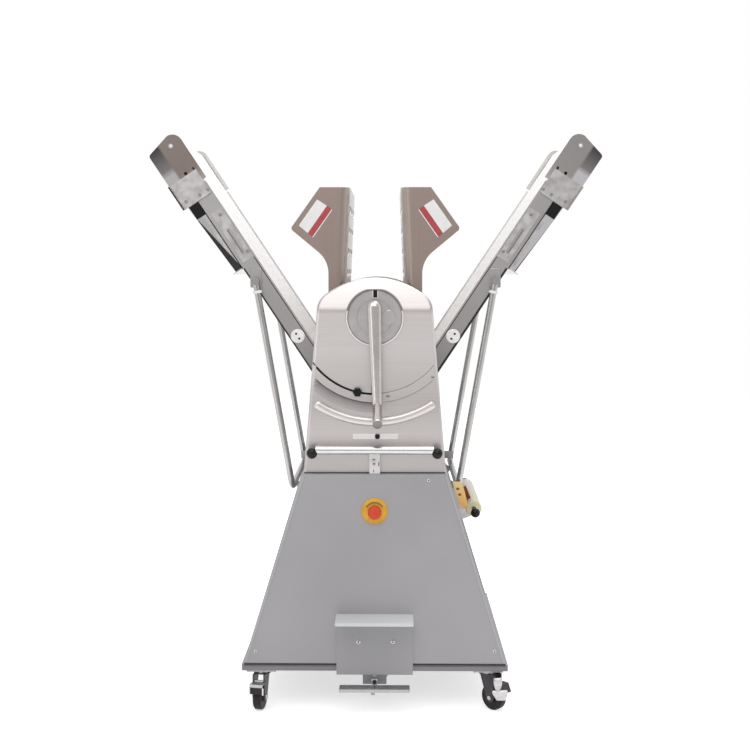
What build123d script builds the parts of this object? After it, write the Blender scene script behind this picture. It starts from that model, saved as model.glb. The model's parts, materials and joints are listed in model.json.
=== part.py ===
"""Floor-standing electric dough sheeter with its two conveyor tables folded up.

X runs along the conveyor, Y points away from the operator and Z is up. The origin is on the floor
under the middle of the machine. All sizes are in millimetres.
"""

import os
from math import atan2, cos, degrees, pi, radians, sin, sqrt, tan

from build123d import *

os.makedirs("parts", exist_ok=True)

# Widths across the machine, counted from the middle of the belts
BELT_WIDTH = 500.0
RAIL_MARGIN = 20.0
HEAD_CLEAR = 6.0
SIDE_PLATE = 10.0
COVER_DEPTH = 125.0
BASE_LEDGE = 20.0
LEDGE_REACH = 100.0
GLAND_REACH = 22.0

RAIL_OUT = BELT_WIDTH / 2 + RAIL_MARGIN
PLATE_IN = RAIL_OUT + HEAD_CLEAR
HEAD_GAP = 2 * PLATE_IN
PLATE_OUT = PLATE_IN + SIDE_PLATE
HEAD_FACE = PLATE_OUT + COVER_DEPTH
BASE_FACE = HEAD_FACE + BASE_LEDGE
MID_Y = (LEDGE_REACH - GLAND_REACH) / 2

# Base
SHEET = 2.0
PAN_BOTTOM = 123.0
PAN_HEIGHT = 19.0
PAN_HALF = 404.0
PAN_WALL = 2.0
BASE_TOP_Z = 726.0
TOP_PLATE = 3.0
BASE_TOP_HALF = 220.0
BASE_FOOT_HALF = 399.0
SIDE_INSET = 10.0
POST = 30.0
POST_WALL = 2.5

PAN_TOP = PAN_BOTTOM + PAN_HEIGHT
PAN_FLOOR = PAN_BOTTOM + PAN_WALL
PANEL_TOP = BASE_TOP_Z - TOP_PLATE

# Emergency stop
ESTOP_Z = 614.0
ESTOP_COLLAR_R = 40.0
ESTOP_COLLAR = 10.0
ESTOP_BODY_R = 11.0
ESTOP_STEM_R = 7.0
ESTOP_HEAD_R = 20.0
ESTOP_HEAD = 15.0
ESTOP_TRAVEL = 5.0
ESTOP_BLOCK = 38.0
ESTOP_BLOCK_DEPTH = 45.0

# Foot guard and pedal
GUARD_PLATE = 3.0
GUARD_HALF = 116.0
GUARD_TOP_Z = 299.0
GUARD_FOOT_Z = 112.0
GUARD_LIP = 10.0
PEDAL_Z = 102.0
PEDAL_SHAFT_R = 9.0
PEDAL_HALF = 106.0
PEDAL_BAR = 7.0
PEDAL_DEPTH = 30.0
PEDAL_DROP = 17.0
PEDAL_REACH = 28.0
PEDAL_ARM = 17.0
PEDAL_BLOCK_HALF = 36.0
PEDAL_BLOCK_DEPTH = 30.0
PEDAL_BLOCK_DROP = 41.0

# Handlebar and the link to the pedal
HANDLEBAR_Z = 792.0
HANDLEBAR_R = 13.0
HANDLEBAR_WALL = 2.0
HANDLEBAR_HALF = 176.0
BAR_LIFT = 9.0
HANDLEBAR_STAND = 34.0
BALL_R = 16.0
POST_HALF = 16.0
POST_DEPTH = 14.0
CONTROL_SHAFT_R = 7.0
CRANK_REACH = 32.0
CRANK_PLATE = 6.0
CRANK_PIN_R = 4.0
CRANK_INSET = 12.0
LINK_WIDTH = 16.0
LINK_PLATE = 5.0

# Cable gland in the rear panel
GLAND_X = 230.0
GLAND_Z = 224.0
GLAND_R = 12.0
GLAND_BORE_R = 4.5
GLAND_TAIL = 8.0

# Casters
CASTER_X = 345.0
CASTER_INSET = 36.0
CASTER_PLATE = 90.0
CASTER_PLATE_DEPTH = 66.0
CASTER_PLATE_T = 5.0
CASTER_CUP_R = 24.0
CASTER_CUP = 7.0
CASTER_PIN_R = 6.0
FORK_TOP_R = 26.0
FORK_SHEET = 4.0
FORK_GAP = 30.0
FORK_HALF = 15.0
TRAIL = 26.0
WHEEL_R = 40.0
WHEEL_WIDTH = 25.0
AXLE_R = 5.0
BRAKE_WIDTH = 26.0
BRAKE_PAD = 40.0
BRAKE_LENGTH = 45.0
BRAKE_DROP = 26.0
BRAKE_SHEET = 3.0
BRAKE_PIN_R = 4.0

# Head
HEAD_INSET = 5.0
SHOULDER_HALF = 171.0
SHOULDER_Z = 1244.0
HEAD_TOP_Z = 1314.0
SHOULDER_R = 60.0
COVER_WALL = 2.0
COVER_EDGE_R = 9.0
PLATE_INSET = 1.0
TIE_R = 10.0
TIE_LOW_X = 130.0
TIE_LOW_Z = 779.0
TIE_HIGH_Z = 1269.0
LEAN_Z = 1220.0
LEAN_BACK = 40.0
LEAN_R = 40.0

HEAD_FOOT_HALF = BASE_TOP_HALF - HEAD_INSET

# Gap lever on the cross shaft, with the dial behind it
HUB_Z = 1195.0
SHAFT_R = 12.5
DIAL_R = 80.0
DIAL_RIM = 6.0
DIAL_FLAT = 84.0
DIAL_SINK = 6.0
DIAL_LIP = 2.0
DIAL_PROUD = 1.5
DIAL_PLATE = 5.0
DIAL_FLANGE = 3.0
DIAL_RING_R = 60.0
DIAL_RING_WIDTH = 6.0
DIAL_RING = 4.0
DIAL_BOSS_R = 21.0
DIAL_BOSS_X = 41.0
DIAL_BOSS = 9.0
LEVER_STAND = 16.0
LEVER_DEPTH = 22.0
LEVER_LEAN = 1.7
HEAD_STEP = 17.0
LEVER_TOP_HALF = 21.0
LEVER_NECK_HALF = 15.0
LEVER_TOP = 50.0
LEVER_ARM = 263.0
LEVER_GRIP_R = 14.0
LEVER_GRIP = 92.0
LEVER_GRIP_TILT = 60.0
LEVER_KNOB_R = 14.7
LEVER_KNOB = 26.0
LEVER_TURN = 48.0

# Arc band, its slot with the stop knob, and the pressed rib below
BAND_IN_R = 228.0
BAND_OUT_R = 254.0
BAND_RAISE = 5.0
BAND_TURN = 60.0
STOP_R = 229.0
STOP_TURN = 13.0
SLOT_FROM = 1.0
SLOT_TO = 49.0
SLOT_HALF = 3.0
STOP_STEM_R = 2.7
STOP_KNOB_R = 14.0
STOP_KNOB = 9.0
STOP_LOBES = 6
STOP_LOBE_R = 4.0
RIB_IN_R = 303.0
RIB_OUT_R = 323.0
RIB_RAISE = 8.0
RIB_TURN = 33.0

# Sheeting rollers and the rack and pinion that lifts the upper one
ROLLER_R = 44.0
ROLLER_END = 14.0
LOW_ROLLER_Z = 882.0
REST_GAP = 17.0
LOW_SHAFT_R = 15.0
HIGH_SHAFT_R = 12.0
BEARING_R = 40.0
BEARING_SPIGOT_R = 30.0
BEARING_FLANGE = 12.0
BLOCK_HALF = 33.0
BLOCK_HEIGHT = 90.0
BLOCK_FLANGE_HALF = 44.0
BLOCK_FLANGE = 14.0
SLIDE_GAP = 0.3
RUN_FIT = 0.05
MODULE = 3.0
PINION_TEETH = 14
PRESSURE = 20.0
ADDENDUM = 0.85
DEDENDUM = 1.2
BACKLASH = 0.5
RACK_TEETH = 9
RACK_BACK = 14.0

HIGH_ROLLER_Z = LOW_ROLLER_Z + 2 * ROLLER_R + REST_GAP
PITCH_R = MODULE * PINION_TEETH / 2
LIFT = PITCH_R * radians(LEVER_TURN)
ROLLER_HALF = PLATE_IN - ROLLER_END

# Motor drive at the rear
MOTOR_Z = 344.0
MOTOR_R = 68.0
MOTOR_LENGTH = 230.0
GEARBOX = 150.0
GEARBOX_DEPTH = 120.0
MOTOR_SHAFT_R = 12.0
MOTOR_PULLEY_R = 36.0
ROLLER_PULLEY_R = 50.0
PULLEY_WIDTH = 20.0
PULLEY_OFF = 59.0
DRIVE_BELT = 12.0
DRIVE_BELT_T = 5.0
BELT_LIFT = 0.3

PULLEY_MID = PLATE_OUT + PULLEY_OFF

# Conveyor tables, in their own plane: u along the table, v square to the belt
FOLD = 56.45
PIVOT_X = 85.0
PIVOT_Z = 898.0
TAIL_U = 980.0
TABLE_ROLLER_R = 22.7
BELT_IN_R = 23.0
BELT_T = 3.0
RAIL_HALF = 25.0
RAIL_SHEET = 3.0
RAIL_FLANGE = 14.0
RAIL_END_U = 880.0
BED_T = 2.0
BED_START_U = 40.0
TRUNNION_R = 16.0
TABLE_SHAFT_R = 10.0
TAIL_SHAFT_R = 8.0

# Tail end: tension plate, bracket plate, cheeks and tray
TENSION_FROM_U = 562.0
TENSION_TO_U = 741.0
TENSION_HALF = 19.0
TENSION_V = 5.0
TENSION_SLOT_U = 630.0
TENSION_SLOT = 90.0
TENSION_SLOT_WIDTH = 12.0
BRACKET_FROM_U = 795.0
BRACKET_TO_U = 880.0
BRACKET_LOW_V = -77.5
BRACKET_PLATE = 3.0
BRACKET_LIP = 12.0
CHEEK_SHEET = 2.0
CHEEK_FROM_U = 799.0
CHEEK_STEP_U = 842.0
CHEEK_LOBE_R = 32.0
CHEEK_LOBE_V = 6.0
CHEEK_END_U = 992.0
CHEEK_LOW_V = -74.5
CHEEK_CORNER_R = 10.0
CHEEK_HOLE_R = 5.0
CHEEK_HOLE_U = 886.0
CHEEK_HOLE_V = 15.0
CHEEK_HOLE_LIFT = 6.0
TRAY_FROM_U = 549.0
TRAY_SHALLOW_V = -48.0
TRAY_MID_V = -62.0
TRAY_SEAM = 4.0
TRAY_LIP = 12.0

# Struts: U-shaped tubes that prop the tables up
STRUT_U = 494.0
STRUT_V = -13.0
STRUT_R = 10.0
STRUT_CLEAR = 14.0
STRUT_STAND = 29.0
STRUT_Z = 663.0
STRUT_BEND_R = 32.0
STRUT_PIN_R = 6.0
SEAT_HALF = 20.0
SEAT_AT = 165.0
SEAT_SHEET = 4.0
CATCH_SHEET = 4.0
SEAT_DEPTH = 22.0
CATCH_AT = 240.0

STRUT_OUT = RAIL_OUT + STRUT_CLEAR

# Guards
GUARD_PIVOT_X = 128.0
GUARD_PIVOT_Z = 1104.0
GUARD_SHEET = 2.0
GUARD_CLEAR = 9.0
GUARD_BEND_R = 30.0
GUARD_STEM_HALF = 17.0
GUARD_FACE_X = 78.0
GUARD_FACE_LOW_X = 92.0
GUARD_FACE_LOW_Z = 1268.0
GUARD_CREST_Z = 1590.0
GUARD_CREST_X = 171.0
GUARD_WING_X = 262.0
GUARD_WING_Z = 1463.0
GUARD_WING_R = 10.0
GUARD_NECK_Z = 1366.0
GUARD_NECK_R = 85.0
GUARD_PIN_R = 8.0
GUARD_SLOT_ROWS = 4
GUARD_SLOT_COLUMNS = 3
GUARD_SLOT_PITCH = 66.0
GUARD_SLOT_LENGTH = 120.0
GUARD_SLOT_STEP = 160.0
GUARD_SLOT_HEIGHT = 22.0
GUARD_SLOT_FIRST_Z = 1328.0

GUARD_OUT = PLATE_IN - GUARD_CLEAR

# Rolling pin on the right side of the base
PIN_STAND = 58.0
PIN_Z = 582.0
PIN_R = 25.0
PIN_HALF = 215.0
PIN_STEM_R = 7.0
PIN_STEM = 62.0
PIN_BALL_R = 14.5
CRADLE_AT = 150.0
CRADLE_PLATE = 5.0
CRADLE_RIM = 8.0
CRADLE_GAP = 0.3
PIN_LIFT = 40.0

SIDES = (("left", -1), ("right", 1))
ENDS = (-1, 1)


def upright(y):
    """Sketch plane square to Y, with x to the right, y up and its normal towards the operator."""
    return Plane.XZ.offset(-y)


def save(builder, name):
    """Label a finished piece and write it as one STEP file."""
    builder.part.label = name
    export_step(builder.part, f"parts/{name}.step")


def base_half(z):
    """Half width of the front panel's outline at a height."""
    share = (z - PAN_TOP) / (BASE_TOP_Z - PAN_TOP)
    return BASE_FOOT_HALF + share * (BASE_TOP_HALF - BASE_FOOT_HALF)


def side_x(z, depth=0.0):
    """Distance from the middle to the side panel's outer face, or deeper into the base."""
    return base_half(z) - SIDE_INSET - depth


strut_x = side_x(STRUT_Z) + STRUT_STAND
pin_x = side_x(PIN_Z) + PIN_STAND


def table_plane(sx):
    """Plane of one table: x along it from its pivot, y square to the belt, z across the machine."""
    along = (sx * cos(radians(FOLD)), 0, sin(radians(FOLD)))
    return Plane(origin=(sx * PIVOT_X, MID_Y, PIVOT_Z), x_dir=along, z_dir=(0, -sx, 0))


def rods(plane, centres, radius, start, length):
    """Round bars square to a plane, from start to start plus length along its normal."""
    with BuildSketch(plane.offset(start)) as ends:
        with Locations(*centres):
            Circle(radius)
    extrude(ends.sketch, amount=length)


def drill(plane, centres, radius, start, length):
    """Round holes square to a plane, from start to start plus length along its normal."""
    with BuildSketch(plane.offset(start)) as ends:
        with Locations(*centres):
            Circle(radius)
    extrude(ends.sketch, amount=length, mode=Mode.SUBTRACT)


def head_face(inset=0.0):
    """Outline of the head: flared sides, round shoulders and a domed top."""
    foot = (HEAD_FOOT_HALF, BASE_TOP_Z)
    shoulder = (SHOULDER_HALF, SHOULDER_Z)
    with BuildLine() as rim:
        Polyline((-shoulder[0], shoulder[1]), (-foot[0], foot[1]), foot, shoulder)
        ThreePointArc(shoulder, (0, HEAD_TOP_Z), (-shoulder[0], shoulder[1]))
    face = make_face(rim.edges())
    fillet(face.vertices().group_by(Axis.Y)[-1], radius=SHOULDER_R)
    if inset:
        offset(amount=-inset, mode=Mode.REPLACE)


def arc_band(inner, outer, from_turn, to_turn):
    """Ring sector about the hub with round ends; turns are degrees from straight down, plus to the right."""
    with BuildLine(mode=Mode.PRIVATE) as middle:
        CenterArc((0, HUB_Z), (inner + outer) / 2, from_turn - 90, to_turn - from_turn)
    SlotArc(middle.edges()[0], outer - inner)


def dial_outline(radius, flat):
    """Circle about the hub with its top cut off flat."""
    with Locations((0, HUB_Z)):
        Circle(radius)
    with Locations((0, HUB_Z + flat + radius)):
        Rectangle(2 * radius, 2 * radius, mode=Mode.SUBTRACT)


# Base: pan, posts, panels and top plate
with BuildPart() as base_pan:
    with BuildSketch(Plane.XY.offset(PAN_BOTTOM)):
        with Locations((0, MID_Y)):
            Rectangle(2 * PAN_HALF, 2 * BASE_FACE)
    extrude(amount=PAN_HEIGHT)
    with BuildSketch(Plane.XY.offset(PAN_FLOOR)):
        with Locations((0, MID_Y)):
            Rectangle(2 * (PAN_HALF - PAN_WALL), 2 * (BASE_FACE - PAN_WALL))
    extrude(amount=PAN_HEIGHT, mode=Mode.SUBTRACT)
    with BuildSketch(upright(MID_Y - BASE_FACE + PEDAL_BLOCK_DEPTH)):
        with Locations((0, PAN_BOTTOM - PEDAL_BLOCK_DROP / 2)):
            Rectangle(2 * PEDAL_BLOCK_HALF, PEDAL_BLOCK_DROP)
    extrude(amount=PEDAL_BLOCK_DEPTH)
    drill(upright(MID_Y - BASE_FACE + PEDAL_BLOCK_DEPTH), [(0, PEDAL_Z)], PEDAL_SHAFT_R + RUN_FIT,
          0, PEDAL_BLOCK_DEPTH)
    with BuildSketch(Plane.XY.offset(PAN_BOTTOM)):
        with Locations((CRANK_REACH, MID_Y - HEAD_FACE + CRANK_INSET + CRANK_PLATE)):
            Rectangle(2 * LINK_WIDTH, 3 * LINK_WIDTH)
    extrude(amount=PAN_WALL, mode=Mode.SUBTRACT)
save(base_pan, "base_pan")

with BuildPart() as base_posts:
    for sx in (-1, 1):
        for end in ENDS:
            start = MID_Y + end * (BASE_FACE - PAN_WALL)
            with BuildSketch(upright(start)):
                with BuildLine():
                    Polyline(
                        (sx * side_x(PAN_FLOOR, SHEET), PAN_FLOOR),
                        (sx * side_x(PANEL_TOP, SHEET), PANEL_TOP),
                        (sx * side_x(PANEL_TOP, SHEET + POST), PANEL_TOP),
                        (sx * side_x(PAN_FLOOR, SHEET + POST), PAN_FLOOR),
                        close=True,
                    )
                make_face()
            extrude(amount=end * POST)
            with BuildSketch(upright(start - end * POST_WALL)):
                with BuildLine():
                    Polyline(
                        (sx * side_x(PAN_FLOOR, SHEET + POST_WALL), PAN_FLOOR),
                        (sx * side_x(PANEL_TOP, SHEET + POST_WALL), PANEL_TOP),
                        (sx * side_x(PANEL_TOP, SHEET + POST - POST_WALL), PANEL_TOP),
                        (sx * side_x(PAN_FLOOR, SHEET + POST - POST_WALL), PAN_FLOOR),
                        close=True,
                    )
                make_face()
            extrude(amount=end * (POST - 2 * POST_WALL), mode=Mode.SUBTRACT)
save(base_posts, "base_posts")

post_front = MID_Y - HEAD_FACE - BASE_LEDGE / 2 - POST_DEPTH / 2
with BuildPart() as base_top:
    with BuildSketch(Plane.XY.offset(PANEL_TOP)):
        with Locations((0, MID_Y)):
            Rectangle(2 * BASE_TOP_HALF, 2 * BASE_FACE)
        with Locations((CRANK_REACH, MID_Y - HEAD_FACE + CRANK_INSET + CRANK_PLATE)):
            Rectangle(2 * LINK_WIDTH, 2 * LINK_WIDTH, mode=Mode.SUBTRACT)
        with Locations((0, MID_Y + PULLEY_MID)):
            Rectangle(4 * ROLLER_PULLEY_R, 2 * PULLEY_WIDTH, mode=Mode.SUBTRACT)
    extrude(amount=TOP_PLATE)
    with BuildSketch(upright(post_front + POST_DEPTH)):
        with BuildLine():
            Polyline((-POST_HALF, HANDLEBAR_Z), (-POST_HALF, BASE_TOP_Z), (POST_HALF, BASE_TOP_Z),
                     (POST_HALF, HANDLEBAR_Z))
            ThreePointArc((POST_HALF, HANDLEBAR_Z), (0, HANDLEBAR_Z + POST_HALF),
                          (-POST_HALF, HANDLEBAR_Z))
        make_face()
        with Locations((0, HANDLEBAR_Z)):
            Circle(CONTROL_SHAFT_R + RUN_FIT, mode=Mode.SUBTRACT)
    extrude(amount=POST_DEPTH)
save(base_top, "base_top")


def panel_outline():
    """Trapezium of the front and rear panels, from the pan to the top plate."""
    with BuildLine() as rim:
        Polyline((-base_half(PAN_TOP), PAN_TOP), (base_half(PAN_TOP), PAN_TOP),
                 (base_half(PANEL_TOP), PANEL_TOP), (-base_half(PANEL_TOP), PANEL_TOP), close=True)
    make_face(rim.edges())


with BuildPart() as front_panel:
    with BuildSketch(upright(MID_Y - BASE_FACE + SHEET)):
        panel_outline()
        with Locations((0, ESTOP_Z)):
            Circle(ESTOP_BODY_R, mode=Mode.SUBTRACT)
    extrude(amount=SHEET)
save(front_panel, "front_panel")

with BuildPart() as rear_panel:
    with BuildSketch(upright(MID_Y + BASE_FACE)):
        panel_outline()
        with Locations((GLAND_X, GLAND_Z)):
            Circle(GLAND_R - SHEET, mode=Mode.SUBTRACT)
    extrude(amount=SHEET)
save(rear_panel, "rear_panel")

with BuildPart() as side_panels:
    for sx in (-1, 1):
        with BuildSketch(upright(MID_Y + BASE_FACE - SHEET)):
            with BuildLine():
                Polyline(
                    (sx * side_x(PAN_TOP), PAN_TOP),
                    (sx * side_x(PANEL_TOP), PANEL_TOP),
                    (sx * side_x(PANEL_TOP, SHEET), PANEL_TOP),
                    (sx * side_x(PAN_TOP, SHEET), PAN_TOP),
                    close=True,
                )
            make_face()
        extrude(amount=2 * (BASE_FACE - SHEET))
save(side_panels, "side_panels")

# Foot guard: a folded plate whose ledge keeps falling things off the pedal
with BuildPart() as pedal_guard:
    with BuildSketch(Plane.YZ.offset(-GUARD_HALF)):
        face = MID_Y - BASE_FACE
        with BuildLine():
            Polyline(
                (face, GUARD_FOOT_Z),
                (face, GUARD_TOP_Z),
                (face - LEDGE_REACH, GUARD_TOP_Z),
                (face - LEDGE_REACH, GUARD_TOP_Z - GUARD_LIP),
                (face - LEDGE_REACH + GUARD_PLATE, GUARD_TOP_Z - GUARD_LIP),
                (face - LEDGE_REACH + GUARD_PLATE, GUARD_TOP_Z - GUARD_PLATE),
                (face - GUARD_PLATE, GUARD_TOP_Z - GUARD_PLATE),
                (face - GUARD_PLATE, GUARD_FOOT_Z),
                close=True,
            )
        make_face()
    extrude(amount=2 * GUARD_HALF)
save(pedal_guard, "pedal_guard")

# Emergency stop: collar with its contact block behind the panel, and the mushroom button
estop_front = upright(MID_Y - BASE_FACE)
with BuildPart() as estop_collar:
    rods(estop_front, [(0, ESTOP_Z)], ESTOP_COLLAR_R, 0, ESTOP_COLLAR)
    chamfer(estop_collar.faces().sort_by(Axis.Y)[0].edges(), length=ESTOP_COLLAR - SHEET)
    rods(estop_front, [(0, ESTOP_Z)], ESTOP_BODY_R, -SHEET, SHEET)
    with BuildSketch(estop_front.offset(-SHEET - ESTOP_BLOCK_DEPTH)):
        with Locations((0, ESTOP_Z)):
            Rectangle(ESTOP_BLOCK, ESTOP_BLOCK)
    extrude(amount=ESTOP_BLOCK_DEPTH)
    drill(estop_front, [(0, ESTOP_Z)], ESTOP_STEM_R + RUN_FIT, -SHEET - ESTOP_BLOCK_DEPTH / 2,
          SHEET + ESTOP_BLOCK_DEPTH)
save(estop_collar, "estop_collar")

with BuildPart() as estop_button:
    button_back = ESTOP_COLLAR + ESTOP_TRAVEL + SLIDE_GAP
    rods(estop_front, [(0, ESTOP_Z)], ESTOP_HEAD_R, button_back, ESTOP_HEAD)
    fillet(estop_button.faces().sort_by(Axis.Y)[0].edges(), radius=ESTOP_HEAD / 3)
    rods(estop_front, [(0, ESTOP_Z)], ESTOP_STEM_R, -SHEET, SHEET + button_back)
save(estop_button, "estop_button")

# Cable gland: threaded body through the rear panel with an open bore
gland_back = upright(MID_Y + BASE_FACE)
with BuildPart() as cable_gland:
    rods(gland_back, [(GLAND_X, GLAND_Z)], GLAND_R, -GLAND_REACH, GLAND_REACH)
    rods(gland_back, [(GLAND_X, GLAND_Z)], GLAND_R - SHEET, 0, SHEET + GLAND_TAIL)
    drill(gland_back, [(GLAND_X, GLAND_Z)], GLAND_BORE_R, -GLAND_REACH,
          GLAND_REACH + SHEET + GLAND_TAIL)
save(cable_gland, "cable_gland")

# Casters: fixed top plates with a cup and a king pin, swivelling forks, wheels and brake tabs
CASTER_TURNS = {"front_left": -101.0, "front_right": -45.0, "rear_left": -120.0, "rear_right": -65.0}
cup_bottom = PAN_BOTTOM - CASTER_PLATE_T - CASTER_CUP
fork_top = cup_bottom - SLIDE_GAP
fork_under = fork_top - FORK_SHEET


def caster_place(name):
    """Middle of a caster's swivel on the pan."""
    row, side = name.split("_")
    x = CASTER_X if side == "right" else -CASTER_X
    depth = BASE_FACE - CASTER_INSET
    return (x, MID_Y + (depth if row == "rear" else -depth))


def caster_plane(name):
    """Upright plane of a caster's wheel: x back along its trail, y up, z along the axle."""
    turn = radians(CASTER_TURNS[name])
    x, y = caster_place(name)
    return Plane(origin=(x, y, 0), x_dir=(cos(turn), sin(turn), 0), z_dir=(sin(turn), -cos(turn), 0))


with BuildPart() as caster_plates:
    for name in CASTER_TURNS:
        with BuildSketch(Plane.XY.offset(PAN_BOTTOM - CASTER_PLATE_T)):
            with Locations(caster_place(name)):
                Rectangle(CASTER_PLATE, CASTER_PLATE_DEPTH)
        extrude(amount=CASTER_PLATE_T)
        rods(Plane.XY, [caster_place(name)], CASTER_CUP_R, cup_bottom, CASTER_CUP)
        rods(Plane.XY, [caster_place(name)], CASTER_PIN_R, fork_under - FORK_SHEET,
             cup_bottom - fork_under + FORK_SHEET)
save(caster_plates, "caster_plates")

leg_in = FORK_GAP / 2
leg_out = leg_in + FORK_SHEET
brake_pivot = (TRAIL + FORK_HALF - 2 * BRAKE_PIN_R, 2 * WHEEL_R + 2 * BRAKE_PIN_R)
for name in CASTER_TURNS:
    plane = caster_plane(name)
    braked = name.startswith("front")
    with BuildPart() as fork:
        rods(Plane.XY, [caster_place(name)], FORK_TOP_R, fork_under, FORK_SHEET)
        for end in ENDS:
            with BuildSketch(plane.offset(end * leg_in)):
                with BuildLine():
                    Polyline(
                        (TRAIL - FORK_HALF, WHEEL_R),
                        (-FORK_HALF, fork_top),
                        (TRAIL + FORK_HALF, fork_top),
                        (TRAIL + FORK_HALF, WHEEL_R),
                    )
                    ThreePointArc((TRAIL + FORK_HALF, WHEEL_R), (TRAIL, WHEEL_R - FORK_HALF),
                                  (TRAIL - FORK_HALF, WHEEL_R))
                make_face()
            extrude(amount=end * FORK_SHEET)
        with BuildSketch(plane.offset(-leg_in)):
            with BuildLine():
                Polyline((-FORK_HALF, fork_top), (TRAIL, fork_top), (TRAIL, fork_under),
                         (-FORK_HALF, fork_under), close=True)
            make_face()
        extrude(amount=FORK_GAP)
        rods(plane, [(TRAIL, WHEEL_R)], AXLE_R, -leg_out - SHEET, 2 * (leg_out + SHEET))
        drill(Plane.XY, [caster_place(name)], CASTER_PIN_R + RUN_FIT, fork_under - FORK_SHEET,
              2 * FORK_SHEET)
    save(fork, f"caster_fork_{name}")

    with BuildPart() as wheel:
        with BuildSketch(plane.offset(-WHEEL_WIDTH / 2)):
            with Locations((TRAIL, WHEEL_R)):
                Circle(WHEEL_R)
                Circle(AXLE_R + RUN_FIT, mode=Mode.SUBTRACT)
        extrude(amount=WHEEL_WIDTH)
        rims = wheel.edges().filter_by(GeomType.CIRCLE).group_by(SortBy.RADIUS)[-1]
        chamfer(rims, length=WHEEL_WIDTH / 8)
    save(wheel, f"caster_wheel_{name}")

    if braked:
        with BuildPart() as brake:
            pin_u, pin_z = brake_pivot
            pad_from = TRAIL + FORK_HALF + 2 * SHEET
            pad_to = pin_u + BRAKE_LENGTH * 3 / 4
            with BuildSketch(plane.offset(-BRAKE_WIDTH / 2)):
                with Locations(((pin_u + pad_from) / 2, pin_z - BRAKE_SHEET / 2)):
                    Rectangle(pad_from - pin_u, BRAKE_SHEET)
            extrude(amount=BRAKE_WIDTH)
            with BuildSketch(plane.offset(-BRAKE_PAD / 2)):
                with BuildLine():
                    Polyline((pad_from, pin_z - BRAKE_SHEET), (pad_from, pin_z), (pad_to, pin_z),
                             (pin_u + BRAKE_LENGTH, pin_z - BRAKE_DROP),
                             (pin_u + BRAKE_LENGTH - BRAKE_SHEET, pin_z - BRAKE_DROP),
                             (pad_to - BRAKE_SHEET * 2 / 3, pin_z - BRAKE_SHEET), close=True)
                make_face()
            extrude(amount=BRAKE_PAD)
            rods(plane, [brake_pivot], BRAKE_PIN_R, -leg_in + SLIDE_GAP, FORK_GAP - 2 * SLIDE_GAP)
        save(brake, f"caster_brake_{name}")

# Head: side plates with the table trunnions, covers, tie bars and bearings
block_low = HIGH_ROLLER_Z - BLOCK_HEIGHT / 2
block_high = HIGH_ROLLER_Z + BLOCK_HEIGHT / 2
table_pivots = [(-PIVOT_X, PIVOT_Z), (PIVOT_X, PIVOT_Z)]
guard_pivots = [(-GUARD_PIVOT_X, GUARD_PIVOT_Z), (GUARD_PIVOT_X, GUARD_PIVOT_Z)]
trunnion_tip = BELT_WIDTH / 2 + SHEET

with BuildPart() as head_side_plates:
    for end in ENDS:
        with BuildSketch(upright(MID_Y + end * PLATE_IN)):
            head_face(PLATE_INSET)
            with Locations((0, (block_low + block_high) / 2)):
                Rectangle(2 * (BLOCK_HALF + SLIDE_GAP), BLOCK_HEIGHT + 2 * (LIFT + SHEET),
                          mode=Mode.SUBTRACT)
            with Locations((0, LOW_ROLLER_Z)):
                Circle(BEARING_SPIGOT_R, mode=Mode.SUBTRACT)
            with Locations((0, HUB_Z)):
                Circle(SHAFT_R + RUN_FIT, mode=Mode.SUBTRACT)
            with Locations(*guard_pivots):
                Circle(GUARD_PIN_R + RUN_FIT, mode=Mode.SUBTRACT)
        extrude(amount=-end * SIDE_PLATE)
        with BuildSketch(upright(MID_Y + end * trunnion_tip)):
            with Locations(*table_pivots):
                Circle(TRUNNION_R)
        extrude(amount=-end * (PLATE_IN - trunnion_tip))
        drill(upright(MID_Y + end * trunnion_tip), table_pivots, TABLE_SHAFT_R + RUN_FIT, 0,
              -end * (PLATE_OUT - trunnion_tip))
save(head_side_plates, "head_side_plates")


def cover_shell(end):
    """Pressed cover: the head's outline drawn out to its face, edges rounded, hollow behind."""
    with BuildSketch(upright(MID_Y + end * PLATE_OUT)) as outline:
        head_face()
    extrude(outline.sketch, amount=-end * COVER_DEPTH)
    over = HEAD_TOP_Z + SHEET
    back = LEAN_BACK * (over - LEAN_Z) / (HEAD_TOP_Z - LEAN_Z)
    with BuildSketch(Plane.YZ.offset(-HEAD_FOOT_HALF)) as wedge:
        with BuildLine() as rim:
            face = MID_Y + end * HEAD_FACE
            Polyline((face, LEAN_Z), (face, over), (face - end * back, over), close=True)
        make_face(rim.edges())
    extrude(wedge.sketch, amount=2 * HEAD_FOOT_HALF, mode=Mode.SUBTRACT)


with BuildSketch() as cover_flat:
    head_face(COVER_EDGE_R)

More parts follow.
